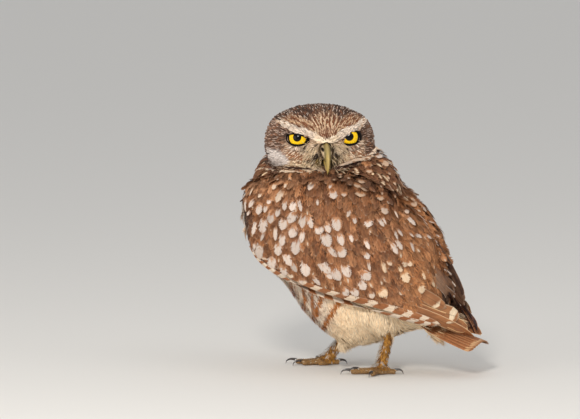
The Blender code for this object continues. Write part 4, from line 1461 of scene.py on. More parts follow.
def grow_spotted(name, side, kinds, wisps):
    """Feathers with a pale spot at the tip, on the left side or mirrored on the right."""
    rows = np.array(SPOTS, float)
    centres, _ = from_side(rows[:, :2], skin_tree)
    rng = np.random.default_rng(SEED + 20 + side)
    if side < 0:
        keep = np.abs(centres[:, 0]) > 5
        rows, centres = rows[keep], centres[keep]
        centres = centres * (-1, 1, 1) + rng.normal(0, 1.0, centres.shape)
        rows = rows * (1 + rng.normal(0, 0.06, rows.shape))
    on = roots_at(centres, SEED + 21)
    width, height = rows[:, 2] * MM_PER_PIXEL * 1.25, rows[:, 3] * MM_PER_PIXEL * 1.25
    length = np.clip(height * 2.4, 8, 17)
    wide = np.clip(width * 1.45, 2.8, 9.5)
    spot_centre = 1 - (height / 2 + 0.1) / length
    ahead = lie(on.place, on.owner)
    flat = unit(ahead - on.out * (ahead * on.out).sum(1, keepdims=True))
    flat = unit(flat + np.cross(flat, on.out) * rng.normal(0, 0.3, (len(rows), 1)))
    tract = roots_at(on.place - flat * (spot_centre * length)[:, None], SEED + 22 + side)
    ahead = unit(on.place - tract.place)
    tints = tints_at(on.place, on.owner)
    across, down = rows[:, 0], rows[:, 1]
    cream = np.maximum(step(across, 365, 385) * step(down, 255, 268), 0.6 * step(-down, -204, -196) * (across < 300))
    mark = blend(np.tile(tone(192, 176, 164), (len(rows), 1)), tone(204, 178, 148), cream)
    mark = blend(mark, tone(180, 152, 128), step(across, 335, 355) * step(-down, -222, -205))
    lay(tract, ahead, length, wide, on.depth + 0.25 + 0.3 * tract.random[:, 7])
    tract.put(twist=(tract.random[:, 4] - 0.5) * 0.2)
    around = blend(tints.ground, tone(188, 132, 88), 0.25 + 0.4 * tract.random[:, 5])
    marked(
        tract, varied(around, tract.random[:, 1], 0.15), varied(mark, tract.random[:, 2], 0.14),
        spot_width=np.clip(width / wide, 0, 1) * 1.15, spot_length=height / 2 / length, spot_centre=spot_centre,
        lean=(tract.random[:, 3] - 0.5) * 0.3, edge=0.35,
    )
    grow(name, tract, kinds, PLUMAGE)
    # Loose barbs of the feather above, which break the spot's upper end.
    times = 4
    places = np.repeat(on.place - flat * (height * 0.5)[:, None], times, 0)
    across = np.repeat(np.cross(flat, on.out) * width[:, None], times, 0)
    places = places + across * (rng.random((len(places), 1)) - 0.5) * 1.5
    back = np.repeat(flat, times, 0) * rng.uniform(3.5, 5, (len(places), 1))
    over = roots_at(places - back, SEED + 40 + side)
    lay(over, jittered(over, np.repeat(flat, times, 0), 0.35), rng.uniform(5, 7.5, len(over)), 5.5,
        over.depth + 0.7 + 0.3 * over.random[:, 7])
    marked(over, varied(np.repeat(tints.ground, times, 0), over.random[:, 1], 0.4))
    return grow(name.replace("feathers", "barbs"), over, wisps, PLUMAGE)


def grow_wisps(name, inside, spacing, kinds, seed):
    """Loose barbs over the larger feathers, in the same colours, some darker and some rustier."""
    tract = scatter(inside, spacing, seed)
    length = 6.5 + 3.5 * tract.random[:, 6]
    ahead = jittered(tract, lie(tract.place, tract.owner), 0.25)
    if name != "back":
        kept = above_band(tract.place, ahead, length) & (tract.place[:, 1] > -57)
        tract, length, ahead = tract.only(kept), length[kept], ahead[kept]
    tints = tints_at(tip_places(tract, ahead, length), tract.owner)
    dark = tract.random[:, 1:2] < 0.4
    ground = tints.ground * np.where(dark, (0.6, 0.57, 0.55), (1.3, 1.2, 1.1))
    lay(tract, ahead, length, length, tract.depth * (0.86 + 0.22 * tract.random[:, 7]))
    marked(tract, ground)
    return grow(f"loose_barbs_{name}", tract, kinds, PLUMAGE)


def above_band(points, ahead, length):
    """Whether a feather's tip stays over the barred band along the wing's lower edge."""
    return wing_height(points + ahead * np.asarray(length)[:, None]) > 0.05


def grow_contour():
    kinds = shapes("contour_vanes", vane, SEED + 5, barbs=11, base=0.6, tip=0.6, notch=0.16, splits=0.45)
    wisps = shapes("loose_barbs", tuft, SEED + 13, strands=7, spread_out=0.26, thick=0.03, segments=3, curl=0.08)
    for name, part, seed in (("left", WING_LEFT, 3), ("right", WING_RIGHT, 4), ("back", TRUNK, 5)):

        def inside(points, owner):
            return is_mantle(points, owner) if part == TRUNK else owner == part

        def spacing(points, owner):
            view = side_view(points * (0, 1, 1) + np.abs(points) * (1, 0, 0))
            big = mound(view[:, 0], view[:, 1], (356, 232), (34, 34))
            return 3.2 + 1.2 * big

        tract = scatter(inside, spacing, SEED + seed)
        size = spacing(tract.place, tract.owner)
        length = size * (4.1 + 0.9 * tract.random[:, 6]) * (1 - 0.5 * step(-tract.place[:, 1], 38, 52))
        ahead = jittered(tract, lie(tract.place, tract.owner), 0.2)
        if part != TRUNK:
            kept = above_band(tract.place, ahead, length)
            tract, size, length, ahead = tract.only(kept), size[kept], length[kept], ahead[kept]
        tips = tip_places(tract, ahead, length)
        tints = tints_at(tips, tract.owner)
        lay(tract, ahead, length, size * 2.0, tract.depth * (0.82 + 0.06 * tract.random[:, 7]))
        tract.put(twist=(tract.random[:, 4] - 0.5) * 0.08)
        small = np.where(tract.random[:, 2] < 0.1, 0.3, 0.0)
        marked(tract, varied(tints.ground, tract.random[:, 1], 0.22), tints.mark, spot_width=small, spot_length=0.09,
               spot_centre=0.9, lean=(tract.random[:, 4] - 0.5) * 0.8, edge=0.45 * tract.random[:, 6])
        grow(f"contour_feathers_{name}", tract, kinds, PLUMAGE)
        grow_wisps(name, inside, lambda p, o: np.full(len(p), 2.1), wisps, SEED + 30 + seed)
    grow_spotted("spotted_feathers_left", 1, kinds, wisps)
    grow_spotted("spotted_feathers_right", -1, kinds, wisps)


# Quills of the wings and tail. Each is a closed thin blade along its own path.


class Blades:
    """Gathers the points, faces and values of many quills into one mesh."""

    COLUMNS = (-1, -0.7, -0.35, 0, 0.35, 0.7, 1)
    RINGS = 30
    THICK = 0.22

    def __init__(self):
        self.points, self.faces, self.charts = [], [], []
        self.values = {label: [] for label in ("place", "ground", "mark", "signs", "trims")}
        self.count = 0

    def add(self, path, outs, width, ground, mark, signs, trims, cup=0.08, base=0.5):
        """One quill. width is its widest in mm. signs and trims are the bars and the rim for its finish."""
        n = self.RINGS
        path, outs = curve(path, n), unit(curve(outs, n))
        ahead = unit(np.gradient(path, axis=0))
        outs = unit(outs - ahead * (outs * ahead).sum(1, keepdims=True))
        side = np.cross(ahead, outs)
        start = len(self.points)
        around = [(v, 1) for v in self.COLUMNS] + [(v, -1) for v in self.COLUMNS[::-1]]
        for k in range(n):
            s = k / (n - 1)
            half = width / 2 * min(1, base + (1 - base) * 2.5 * s)
            half *= math.sqrt(max(1 - max(0, (s - 0.86) / 0.14) ** 2, 0.0004))
            for v, face in around:
                ragged = 1 - 0.03 * (k % 2) * (abs(v) == 1)
                x = v * half * ragged
                rise = -cup * half * v * v + (0.12 if v == 0 else 0) + face * self.THICK / 2 * (1 - 0.6 * abs(v))
                self.points.append(path[k] + side[k] * x + outs[k] * rise)
                self.values["place"].append((v, s, 0))
        size = len(around)
        for k in range(n - 1):
            for j in range(size):
                a, b = start + k * size + j, start + k * size + (j + 1) % size
                self.faces.append((a, b, b + size, a + size))
        last = start + (n - 1) * size
        self.faces.append(tuple(start + j for j in range(size))[::-1])
        self.faces.append(tuple(last + j for j in range(size)))
        rows = n * size
        self.values["ground"] += [tuple(ground)] * rows
        self.values["mark"] += [tuple(mark)] * rows
        self.values["signs"] += [signs] * rows
        self.values["trims"] += [trims] * rows
        self.charts += [(self.count + 0.5 + 0.4 * v, s) for v, s, _ in self.values["place"][-rows:]]
        self.count += 1

    def finish(self, name):
        piece = mesh_object(name, np.array(self.points), self.faces)
        mesh = piece.data
        for label, rows in self.values.items():
            store(mesh, label, rows)
        chart = mesh.attributes.new("OFBake", "FLOAT2", "CORNER")
        corners = np.empty(len(mesh.loops), np.int32)
        mesh.loops.foreach_get("vertex_index", corners)
        rows = np.array(self.charts) / (self.count, 1)
        chart.data.foreach_set("vector", rows[corners].astype(np.float32).ravel())
        mesh.materials.append(QUILLS)
        coat_pieces.append((piece, "brown_plumage"))
        print(f"{name}: {self.count} quills, {sum(len(p.vertices) - 2 for p in mesh.polygons)} triangles")
        return piece


def part_tree(*names):
    """The surface of these solids alone."""
    chosen = [k for k, owner in enumerate(cad_owner) if FLESH[owner] in names]
    return BVHTree.FromPolygons(cad_points, [cad_faces[k] for k in chosen])


# Each quill: its path in the side view, its width, its lift off the wing at both ends, ground and mark colours,
# how many bars, where they start, the mark's share of each, their slope, and how pale its rim is.
WING_QUILLS = (
    (((250, 246), (257, 259), (270, 268), (287, 279), (310, 291), (345, 302), (380, 311), (415, 320), (436, 326)),
     5.0, (0.2, 0.6), (150, 93, 54), (216, 198, 178), 15, 0.0, 0.52, 0.14, 0.3),
    (((262, 257), (285, 273), (305, 284), (330, 293), (360, 300), (395, 309), (420, 317), (440, 326)),
     5.4, (-0.4, 0.0), (144, 89, 52), (214, 192, 168), 11.5, 0.0, 0.46, 0.16, 0.5),
    (((275, 262), (315, 283), (345, 292), (380, 300), (415, 310), (440, 320), (462, 331), (478, 338)),
     7, (-0.9, 0.1), (138, 90, 56), (214, 178, 140), 0, 0.0, 0.3, 0.2, 1.0),
    (((320, 262), (350, 280), (390, 298), (430, 314), (450, 321), (466, 329)), 9, (-2.4, 0.6), (130, 84, 54),
     (230, 190, 140), 0, 0.0, 0.3, 0.2, 1.0),
    (((330, 254), (365, 271), (396, 290), (424, 305), (442, 312), (457, 316)), 12, (-4.2, 1.1), (146, 98, 62),
     (216, 194, 164), 4.3, 0.68, 0.2, 0.12, 0.5),
    (((345, 254), (378, 269), (402, 281), (422, 293), (445, 307)), 8.5, (-4.4, -0.3), (138, 90, 56),
     (214, 192, 162), 9, 0.91, 0.24, 0.1, 0.3),
)
# Quills of the far wing, seen over the back. Their grounds are darker than the near wing's and near black at the
# primaries: painted shade of the far wing over the quills' own brown.
FAR_QUILLS = (
    (((446, 292), (456, 306), (466, 321), (473, 333)), 2.6, (1.5, 1.7), (46, 34, 34), (208, 142, 104), 0, 0, 0, 0, 1),
    (((450, 290), (460, 305), (470, 321), (475, 332)), 2.6, (1.2, 1.4), (44, 33, 34), (208, 142, 104), 0, 0, 0, 0, 1),
    (((455, 290), (464, 305), (473, 320), (477, 330)), 2.6, (0.9, 1.1), (42, 31, 32), (200, 136, 100), 0, 0, 0, 0, 1),
    (((420, 262), (432, 275), (446, 292), (461, 305)), 7, (0.4, 0.7), (134, 102, 80), (206, 186, 170), 0, 0, 0, 0, 1),
    (((424, 254), (436, 269), (450, 287), (465, 304)), 7, (0.8, 1.1), (124, 92, 72), (190, 166, 148), 0, 0, 0, 0, 0.5),
    (((430, 247), (442, 262), (455, 282), (465, 300)), 7, (1.1, 1.4), (112, 84, 66), (190, 166, 148), 0, 0, 0, 0, 0.3),
    (((438, 243), (447, 259), (457, 278), (464, 295)), 5, (1.3, 1.5), (72, 52, 44), (190, 166, 148), 0, 0, 0, 0, 0.3),
    (((440, 270), (443, 272), (447, 275)), 1.6, (2.6, 2.7), (214, 200, 188), (220, 206, 196), 0, 0, 0, 0, 0),
    (((449, 275), (453, 279), (458, 285)), 1.5, (2.7, 2.8), (214, 200, 188), (220, 206, 196), 0, 0, 0, 0, 0),
    (((449, 288), (449.5, 290), (451, 293)), 1.4, (2.5, 2.6), (214, 200, 188), (220, 206, 196), 0, 0, 0, 0, 0),
    (((452, 289), (454, 292), (457, 296)), 1.8, (2.5, 2.6), (214, 200, 188), (220, 206, 196), 0, 0, 0, 0, 0),
    (((444, 257), (446, 261), (449, 265)), 1.3, (1.9, 2.0), (214, 200, 188), (220, 206, 196), 0, 0, 0, 0, 0),
)


def wing_paths(tree, path, lifts):
    """A quill's path over the wing, from its place in the side view."""
    places, outs = from_side(curve(path, 24), tree)
    for _ in range(4):
        outs[1:-1] = unit(outs[:-2] + outs[1:-1] + outs[2:])
        places[1:-1] = (places[:-2] + 2 * places[1:-1] + places[2:]) / 4
    share = np.linspace(0, 1, len(places))[:, None] ** 2.2
    return places + outs * (lifts[0] + (lifts[1] - lifts[0]) * share), outs


def grow_quills():
    left_wing = part_tree("wing_left")
    right_wing = part_tree("wing_right", "trunk")
    for name, side in (("left", 1), ("right", -1)):
        blades = Blades()
        rows = [(left_wing, row, (side, 1, 1)) for row in WING_QUILLS]
        if side < 0:
            rows += [(right_wing, row, (1, 1, 1)) for row in FAR_QUILLS]
        for k, (tree, (path, width, lifts, ground, mark, bars, start, share, slope, edge), flip) in enumerate(rows):
            places, outs = wing_paths(tree, path, lifts)
            blades.add(places * flip, outs * flip, width, tone(*ground), tone(*mark),
                       (start, share, slope), (k * 0.37 % 1, bars, edge))
        blades.finish(f"wing_quills_{name}")


TAIL_MIDDLE = np.array(((38, 42, 5, 0), (56, 35, 9.5, 1.5), (74, 28.5, 14, 3), (88, 24, 17.5, 3.4), (94, 22, 18.5, 3)))
TAIL_QUILLS = 12


def grow_tail():
    """Tail feathers fanned from the rump, the middle pair on top."""
    blades = Blades()
    for k in range(TAIL_QUILLS):
        v = (2 * k + 1) / TAIL_QUILLS - 1
        rows = TAIL_MIDDLE[:, 0]
        places = np.stack([
            v * TAIL_MIDDLE[:, 2], rows - 2.5 * v * v * (rows - 38) / 56,
            TAIL_MIDDLE[:, 1] - TAIL_MIDDLE[:, 3] * v * v + 0.9 - 1.6 * abs(v),
        ], 1)
        outs = np.stack([0.25 * v + 0 * rows, 0.2 + 0 * rows, 1 + 0 * rows], 1)
        blades.add(places, unit(outs), 8.5, tone(150, 96, 60), tone(196, 154, 112), (0.42, 0.1, 0.1),
                   (k * 0.41 % 1, 2.1, 0.3 + 0.45 * (k * 0.61 % 1)), base=0.6)
    return blades.finish("tail_quills")


# The soft parts.


def grow_belly():
    fine = shapes("down_tufts", tuft, SEED + 6, strands=12, spread_out=0.24, thick=0.02, segments=3, curl=0.06)
    short = shapes("flank_tufts", tuft, SEED + 16, strands=6, spread_out=0.22, thick=0.05, segments=2, curl=0.05)

    def is_flank(points, owner):
        view = side_view(points * (0, 1, 1) + np.abs(points) * (1, 0, 0))
        return is_belly(points, owner) & (view[:, 0] < 352) & (view[:, 1] < 333)

    tract = scatter(is_flank, lambda p, o: np.full(len(p), 1.25), SEED + 16)
    ahead = jittered(tract, lie(tract.place, tract.owner), 0.1)
    length = 4.2 + 1.2 * tract.random[:, 6]
    tints = tints_at(tip_places(tract, ahead, length, 0.9), tract.owner)
    lay(tract, ahead, length, length, tract.depth * (0.62 + 0.1 * tract.random[:, 7]))
    marked(tract, varied(tints.ground, tract.random[:, 1], 0.05))
    grow("flank_feathers", tract, short, DOWN, "pale_plumage")

    def is_down(points, owner):
        return is_belly(points, owner) & ~is_flank(points, owner)

    tract = scatter(is_down, lambda p, o: np.full(len(p), 1.7), SEED + 6)
    x, y, z = tract.place.T
    tip = mound(y, z, (-9, 17), (6, 7))
    thigh = (tract.owner == THIGH_LEFT) | (tract.owner == THIGH_RIGHT)
    length = 7 + 2.5 * tract.random[:, 6] + 6 * tip + 5 * step(y, 40, 55)
    length = np.where(thigh, np.minimum(length, 3.5 + 0.5 * np.maximum(z - 29, 0)), length)
    ahead = jittered(tract, lie(tract.place, tract.owner), 0.12)
    tints = tints_at(tip_places(tract, ahead, length), tract.owner)
    edge = step(-z, -34, -20)
    lay(tract, ahead, length, length, tract.depth * (0.7 + 0.2 * tract.random[:, 7]) + 1.4 * edge * tract.random[:, 2])
    tract.put(arch=7.5 * tip * (0.4 + 0.6 * tract.random[:, 4]))
    marked(tract, varied(tints.ground, tract.random[:, 1], 0.05))
    grow("belly_down", tract, fine, DOWN, "pale_plumage")
    # Down that hangs free along the belly's lower edge, longest at its tip between the legs.
    rng = np.random.default_rng(SEED + 17)
    count = 420
    share = rng.random(count)
    seeds = np.stack([rng.uniform(-4, 12, count), -6 + 27 * share, 15 + 10 * share], 1)
    tract = roots_at(seeds, SEED + 17)
    across = unit(np.stack([np.sign(rng.random(count) - 0.5), rng.normal(0, 0.5, count), np.zeros(count)], 1))
    ahead = np.stack([rng.normal(0, 0.1, count), 0.35 * share + rng.normal(0, 0.12, count), -np.ones(count)], 1)
    ahead = unit(ahead)
    tract.put(ahead=ahead, side=unit(np.cross(ahead, across)), out=across, bow=0, sag=0, rise=0,
              length=(5.4 + 5.0 * np.exp(-((share - 0.08) / 0.16) ** 2)) * (0.6 + 0.5 * tract.random[:, 6]))
    tract = tract.put(width=tract.length).only(tract.owner == TRUNK)
    # Painted shade: the hanging down takes 0.78 of the belly's colour, for the shade under the belly, because its
    # strands face sideways into the light.
    marked(tract, varied(tints_at(tract.place, tract.owner).ground * 0.78, tract.random[:, 1], 0.08))
    return grow("hanging_down", tract, fine, DOWN, "pale_plumage")


def clear_of_floor(tract):
    """Leaves out the tufts whose tips would go into the floor."""
    low = tract.place[:, 2] + tract.length * tract.ahead[:, 2] - 0.5 * tract.width * np.abs(tract.side[:, 2])
    return tract.only(low > 0.1)


def grow_legs():
    short = shapes("leg_tufts", tuft, SEED + 7, strands=4, spread_out=0.35, thick=0.045, segments=2)
    tract = scatter(is_leg, lambda p, o: np.full(len(p), 0.65), SEED + 8)
    length = 2.5 + 1.2 * tract.random[:, 6]
    ahead = jittered(tract, lie(tract.place, tract.owner), 0.4)
    front = step(-tract.out[:, 1], 0.2, 0.75)
    pale = tract.random[:, 1] < 0.06 + 0.85 * front
    golden = np.where(tract.random[:, 4:5] < 0.25, tone(118, 80, 42), tone(198, 144, 68) * (0.6 + 0.6 * tract.random[:, 2:3]))
    ground = np.where(pale[:, None], tone(206, 200, 192), golden)
    lay(tract, ahead, length, length, 1.25 + 0.9 * tract.random[:, 7] + 0.4 * pale)
    marked(tract, ground)
    return grow("leg_feathers", clear_of_floor(tract), short, DOWN, "leg_skin")


def grow_toes():
    """Bristles on top of the toes."""
    thin = shapes("toe_bristles", tuft, SEED + 8, strands=3, spread_out=0.35, thick=0.05, segments=2)
    on_top = lambda p, o: ((o == FOOT_LEFT) | (o == FOOT_RIGHT)) & (p[:, 2] > 2.2)
    tract = scatter(on_top, lambda p, o: np.full(len(p), 0.95), SEED + 10)
    middles = np.where((tract.owner == FOOT_LEFT)[:, None], (16, 27, 4), (-16, -23.5, 4))
    ahead = jittered(tract, unit(unit(tract.place - middles) + (0, 0, 0.1)), 0.4)
    length = 1.5 + 1.0 * tract.random[:, 6]
    lay(tract, ahead, length, length, 0.3 + 0.4 * tract.random[:, 7])
    golden = tone(184, 138, 74) * (0.5 + 0.7 * tract.random[:, 2:3])
    marked(tract, np.where(tract.random[:, 1:2] < 0.25, tone(214, 196, 166), golden))
    return grow("toe_bristles", clear_of_floor(tract), thin, DOWN, "leg_skin")


# Eyes, bill and claws.


def principled(name, roughness, **constants):
    """A material with its shader's fixed values set. Returns the material, its net and its shader."""
    material = bpy.data.materials.new(name)
    material.use_nodes = True
    shader = material.node_tree.nodes["Principled BSDF"]
    shader.inputs["Roughness"].default_value = roughness
    for label, value in constants.items():
        shader.inputs[label.replace("_", " ")].default_value = value
    return material, Net(material.node_tree), shader


def lofted(name, rings, closed=False):
    """A closed mesh object through rings of equal size, in the face's frame. closed joins the last to the first."""
    points = from_face(np.concatenate(rings))
    size, count = len(rings[0]), len(rings)
    faces = []
    for k in range(count if closed else count - 1):
        a, b = k * size, (k + 1) % count * size
        faces += [(a + j, a + (j + 1) % size, b + (j + 1) % size, b + j) for j in range(size)]
    if not closed:
        faces += [tuple(range(size))[::-1], tuple((count - 1) * size + j for j in range(size))]
    piece = mesh_object(name, points, faces)
    bm = bmesh.new()
    bm.from_mesh(piece.data)
    bmesh.ops.recalc_face_normals(bm, faces=bm.faces)
    bm.to_mesh(piece.data)
    bm.free()
    piece.data.shade_smooth()
    return piece


def eye_finish():
    material, net, shader = principled("eye", 0.02, IOR=1.33, Specular_IOR_Level=0.35)
    outward, upward, forward = net.parts(
        net.value("ShaderNodeAttribute", {"attribute_name": "gaze"}, {}, output="Vector")
    )
    reach = (outward * outward + upward * upward) ** 0.5
    angle = upward.math("ARCTAN2", outward)
    ring = net.value("ShaderNodeCombineXYZ", {}, {0: angle * 9, 1: reach * 0.35, 2: 0.0})
    fibres = net.value("ShaderNodeTexNoise", {}, {"Vector": ring, "Scale": 1.6, "Detail": 3.0})
    yellow = net.mix(fibres.ramp(0.3, 0.7), (*linear(222, 158, 8), 1), (*linear(255, 222, 34), 1))
    yellow = net.mix(reach.ramp(3.5, 2.5) * 0.4, yellow, (*linear(214, 146, 10), 1))
    dark = (*linear(10, 8, 7), 1)
    colour = net.mix(reach.ramp(5.3, 5.8), yellow, dark)
    colour = net.mix(reach.ramp(PUPIL_RADIUS + 0.12, PUPIL_RADIUS - 0.08), colour, (0.001, 0.001, 0.001, 1))
    material.node_tree.links.new(colour.socket, shader.inputs["Base Color"])
    return material


EYE_FINISH = eye_finish()


def make_eye(side, solid):
    middle, out, up, ahead = eye_frame(side)
    rings, gaze = [], []
    around = np.linspace(0, 2 * np.pi, 72, endpoint=False)
    for theta in np.linspace(0.004, math.pi - 0.004, 64):
        swell = 0.45 * max(1 - (theta / 0.93) ** 2, 0) ** 2
        radius = EYE_RADIUS - 0.1 + swell
        flat = np.outer(np.cos(around), out) + np.outer(np.sin(around), up)
        way = flat * math.sin(theta) + ahead * math.cos(theta)
        rings.append(middle + way * radius)
        gaze.append(np.stack([way @ out, way @ up, way @ ahead], 1) * EYE_RADIUS)
    piece = lofted(solid + "_look", rings)
    store(piece.data, "gaze", np.concatenate(gaze))
    piece.data.materials.append(EYE_FINISH)
    parts_that_replace.append((piece, solid, "eye"))


def make_lid_rim(name, side, finish):
    """The dark bare rim round the opening of the lids."""
    middle, out, up, ahead = eye_frame(side)
    heart = np.array((0.3, -1.7))
    reaches = []
    angles = np.linspace(0, 2 * np.pi, 96, endpoint=False)
    steps = np.linspace(0, 9, 361)
    for angle in angles:
        a = heart[0] + steps * math.cos(angle)
        b = heart[1] + steps * math.sin(angle)
        reaches.append(steps[np.argmax(beyond_lids(side, a, b) > 0)])
    reaches = np.array(reaches)
    for _ in range(2):
        reaches = (np.roll(reaches, 1) + 2 * reaches + np.roll(reaches, -1)) / 4
    rings = []
    round_the_tube = np.linspace(0, 2 * np.pi, 12, endpoint=False)
    for angle, reach in zip(angles, reaches):
        wide = 0.95 + 0.2 * max(math.cos(angle), 0) ** 2 + 0.1 * max(math.sin(angle), 0)
        flat = heart + (reach + wide * 0.85) * np.array((math.cos(angle), math.sin(angle)))
        depth = math.sqrt(max(EYE_RADIUS**2 - flat @ flat, 0.5))
        way = unit(out * flat[0] + up * flat[1] + ahead * depth)
        across = unit(out * math.cos(angle) + up * math.sin(angle) - way * ((out * math.cos(angle) + up * math.sin(angle)) @ way))
        centre = middle + way * (EYE_RADIUS + 0.3)
        rings.append(np.array([
            centre + across * wide * math.cos(t) + way * 0.6 * math.sin(t) for t in round_the_tube
        ]))
    piece = lofted(name, rings, closed=True)
    piece.data.materials.append(finish)
    coat_pieces.append((piece, "bill_horn"))


def rim_finish():
    material, net, shader = principled("lid rim", 0.6, Specular_IOR_Level=0.12)
    here = net.value("ShaderNodeTexCoord", {}, {}, output="Object")
    cloud = net.value("ShaderNodeTexNoise", {}, {"Vector": here, "Scale": 900.0, "Detail": 2.0})
    colour = net.mix(cloud.ramp(0.3, 0.8), (*linear(5, 4, 4), 1), (*linear(16, 12, 10), 1))
    material.node_tree.links.new(colour.socket, shader.inputs["Base Color"])
    return material


UPPER_BILL = (
    (-18, 0.6, 4.6, 4.0), (-25, 0.8, 4.4, 4.6), (-30.5, -1.8, 3.9, 4.6), (-34, -6.4, 3.0, 3.7),
    (-35, -10.8, 1.9, 2.4), (-34.2, -14.6, 0.4, 0.5),
)
LOWER_BILL = ((-18, -6.8, 3.4, 2.2), (-24, -7.8, 2.8, 2.0), (-28.6, -10.4, 1.9, 1.5), (-30.6, -13.2, 0.6, 0.5))
NOSTRIL = np.array((3.1, -28.8, 0.9))
BILL_SLIMNESS = 0.58  # below the nostrils, where bristles hide the rest of its width


def bill_finish():
    material, net, shader = principled("bill", 0.34)
    x, y, z = net.parts(net.value("ShaderNodeAttribute", {"attribute_name": "face_place"}, {}, output="Vector"))
    here = net.value("ShaderNodeCombineXYZ", {}, {0: x * 2.0, 1: y * 0.4, 2: z * 0.5})
    cloud = net.value("ShaderNodeTexNoise", {}, {"Vector": here, "Scale": 1.0, "Detail": 3.0})
    # The bill darkens from its ridge to its sides: partly the horn's own darker olive and partly painted shade on the
    # sides.
    side = (abs(x) + (cloud - 0.5) * 0.8).ramp(0.6, 1.8)
    colour = net.mix(side, (*linear(180, 154, 88), 1), (*linear(108, 93, 49), 1))
    colour = net.mix(z.ramp(-4.0, 2.0) * 0.5, colour, (*linear(128, 116, 80), 1))
    colour = net.mix(z.ramp(-8.0, -4.0) * (abs(x) + (cloud - 0.5) * 1.2).ramp(1.9, 2.6), colour, (*linear(200, 176, 144), 1))
    colour = net.mix(z.ramp(-10, -15) * 0.5, colour, (*linear(168, 144, 72), 1))
    colour = net.mix(cloud.ramp(0.45, 0.75) * 0.35, colour, (*linear(140, 126, 84), 1))
    # The nostrils are painted near black: painted shade in their pits.
    deep = abs(x) - NOSTRIL[0] + 0.3
    hole = (deep * deep + (z - NOSTRIL[2]) * (z - NOSTRIL[2]) * 0.4) ** 0.5
    colour = net.mix(hole.ramp(0.95, 0.55) * y.ramp(-25, -27), colour, (*linear(14, 10, 8), 1))
    material.node_tree.links.new(colour.socket, shader.inputs["Base Color"])
    return material


def make_bill(solid, stations, finish, ridge):
    rows = curve(stations, 46)
    around = np.linspace(0, 2 * np.pi, 40, endpoint=False)
    rings = []
    for k, (y, z, width, height) in enumerate(rows):
        before, after = rows[max(k - 1, 0)], rows[min(k + 1, len(rows) - 1)]
        ahead = unit(np.array((0, after[0] - before[0], after[1] - before[1])))
        up = np.cross((-1, 0, 0), ahead)
        c, s = np.cos(around), np.sin(around)
        narrow = 1 - ridge * np.maximum(s, 0) ** 1.5
        width = width * (BILL_SLIMNESS + (0.86 - BILL_SLIMNESS) * step(np.array(z), -6, 0.5))
        ring = np.array((0, y, z)) + np.outer(c * width * narrow, (1, 0, 0)) + np.outer(s * height, up)
        for sign in (1, -1):
            off = np.linalg.norm((ring - NOSTRIL * (sign, 1, 1)) * (1, 0.6, 0.8), axis=1)
            ring[:, 0] -= sign * 0.7 * np.exp(-(off / 0.9) ** 2)
        rings.append(ring)
    piece = lofted(solid + "_look", rings)
    store(piece.data, "face_place", np.concatenate(rings))
    piece.data.materials.append(finish)
    parts_that_replace.append((piece, solid, "bill_horn"))


def claw_finish():
    material, net, shader = principled("claw", 0.32)
    here = net.value("ShaderNodeTexCoord", {}, {}, output="Object")
    cloud = net.value("ShaderNodeTexNoise", {}, {"Vector": here, "Scale": 420.0, "Detail": 3.0})
    colour = net.mix(cloud.ramp(0.35, 0.7), (*linear(24, 20, 20), 1), (*linear(74, 64, 58), 1))
    material.node_tree.links.new(colour.socket, shader.inputs["Base Color"])
    return material


def finish_claws():
    horn = claw_finish()
    for side in ("left", "right"):
        for toe in range(1, 5):
            mesh = frame["nodes"][f"claw_{side}_{toe}"].data
            mesh.materials.clear()
            mesh.materials.append(horn)
            mesh.shade_smooth()


grow_head()
grow_bristles()
grow_neck()
grow_collar()
grow_contour()
grow_quills()
grow_tail()
grow_belly()
grow_legs()
grow_toes()
make_eye(1, "eye_left")
make_eye(-1, "eye_right")
RIM_FINISH = rim_finish()
make_lid_rim("lid_rim_left", 1, RIM_FINISH)
make_lid_rim("lid_rim_right", -1, RIM_FINISH)
BILL_FINISH = bill_finish()
make_bill("bill_upper", UPPER_BILL, BILL_FINISH, 0.55)
make_bill("bill_lower", LOWER_BILL, BILL_FINISH, 0.1)
finish_claws()

# Floor, light and camera.

def stage_material(name, colour, roughness):
    material = bpy.data.materials.new(name)
    material.use_nodes = True
    shader = material.node_tree.nodes["Principled BSDF"]
    shader.inputs["Base Color"].default_value = (*colour, 1)
    shader.inputs["Roughness"].default_value = roughness
    return material


def make_floor():
    bm = bmesh.new()
    bmesh.ops.create_grid(bm, x_segments=1, y_segments=1, size=6)
    mesh = bpy.data.meshes.new("floor")
    bm.to_mesh(mesh)
    bm.free()
    floor = bpy.data.objects.new("floor", mesh)
    bpy.context.scene.collection.objects.link(floor)
    floor.data.materials.append(stage_material("pale floor", (0.78, 0.76, 0.72), 0.85))


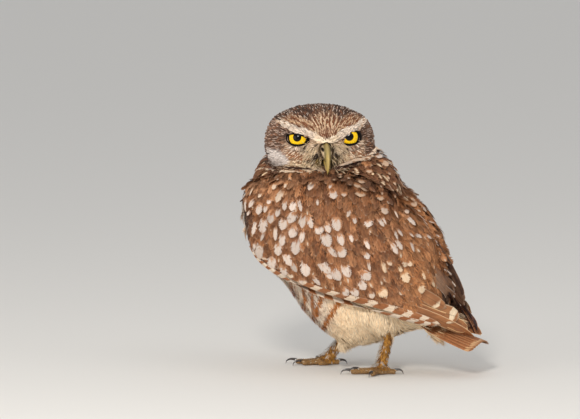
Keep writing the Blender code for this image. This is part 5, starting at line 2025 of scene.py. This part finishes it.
def area_light(name, azimuth, elevation, distance, size, power, colour):
    """A soft light that looks at the owl's middle from this side, in degrees and metres."""
    a, e = math.radians(azimuth), math.radians(elevation)
    back = Vector((math.sin(a) * math.cos(e), -math.cos(a) * math.cos(e), math.sin(e)))
    light = bpy.data.lights.new(name, "AREA")
    light.shape = "DISK"
    light.size = size
    light.energy = power
    light.color = colour
    lamp = bpy.data.objects.new(name, light)
    lamp.location = Vector((0, 0, 0.09)) + back * distance
    lamp.rotation_euler = back.to_track_quat("Z", "Y").to_euler()
    bpy.context.scene.collection.objects.link(lamp)


def make_world():
    world_light = bpy.data.worlds.new("studio")
    world_light.use_nodes = True
    background = world_light.node_tree.nodes["Background"]
    background.inputs["Color"].default_value = (0.97, 0.98, 1.0, 1)
    background.inputs["Strength"].default_value = 0.6
    bpy.context.scene.world = world_light
    bpy.context.scene.view_settings.view_transform = "Standard"


def make_camera():
    back, right, up = Vector(VIEW_BACK), Vector(VIEW_RIGHT), Vector(VIEW_UP)
    across = (IMAGE_SIZE[0] / 2 - ORIGIN_PIXEL[0]) * MM_PER_PIXEL
    above = (ORIGIN_PIXEL[1] - IMAGE_SIZE[1] / 2) * MM_PER_PIXEL
    target = right * across + up * above
    camera = bpy.data.cameras.new("camera")
    camera.sensor_width = SENSOR
    camera.lens = SENSOR * CAMERA_DISTANCE / (IMAGE_SIZE[0] * MM_PER_PIXEL)
    camera.clip_start = 0.1
    camera.clip_end = 50
    holder = bpy.data.objects.new("camera", camera)
    holder.location = (target + back * CAMERA_DISTANCE) * MM
    holder.rotation_euler = Matrix((right, up, back)).transposed().to_euler()
    bpy.context.scene.collection.objects.link(holder)
    bpy.context.scene.camera = holder


make_floor()
make_world()
area_light("key", 101, 28, 1.6, 0.28, 14.2, (1.0, 0.96, 0.91))
area_light("fill", 165, 45, 1.8, 1.2, 3, (1.0, 0.97, 0.93))
area_light("low light", 62, 7, 1.4, 1.0, 5.6, (1.0, 0.94, 0.86))
make_camera()

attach(skin, "root")
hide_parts(*FLESH)
for piece, slot in coat_pieces:
    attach(piece, "root")
for piece, solid, slot in parts_that_replace:
    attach(piece, "root")
    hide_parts(solid)
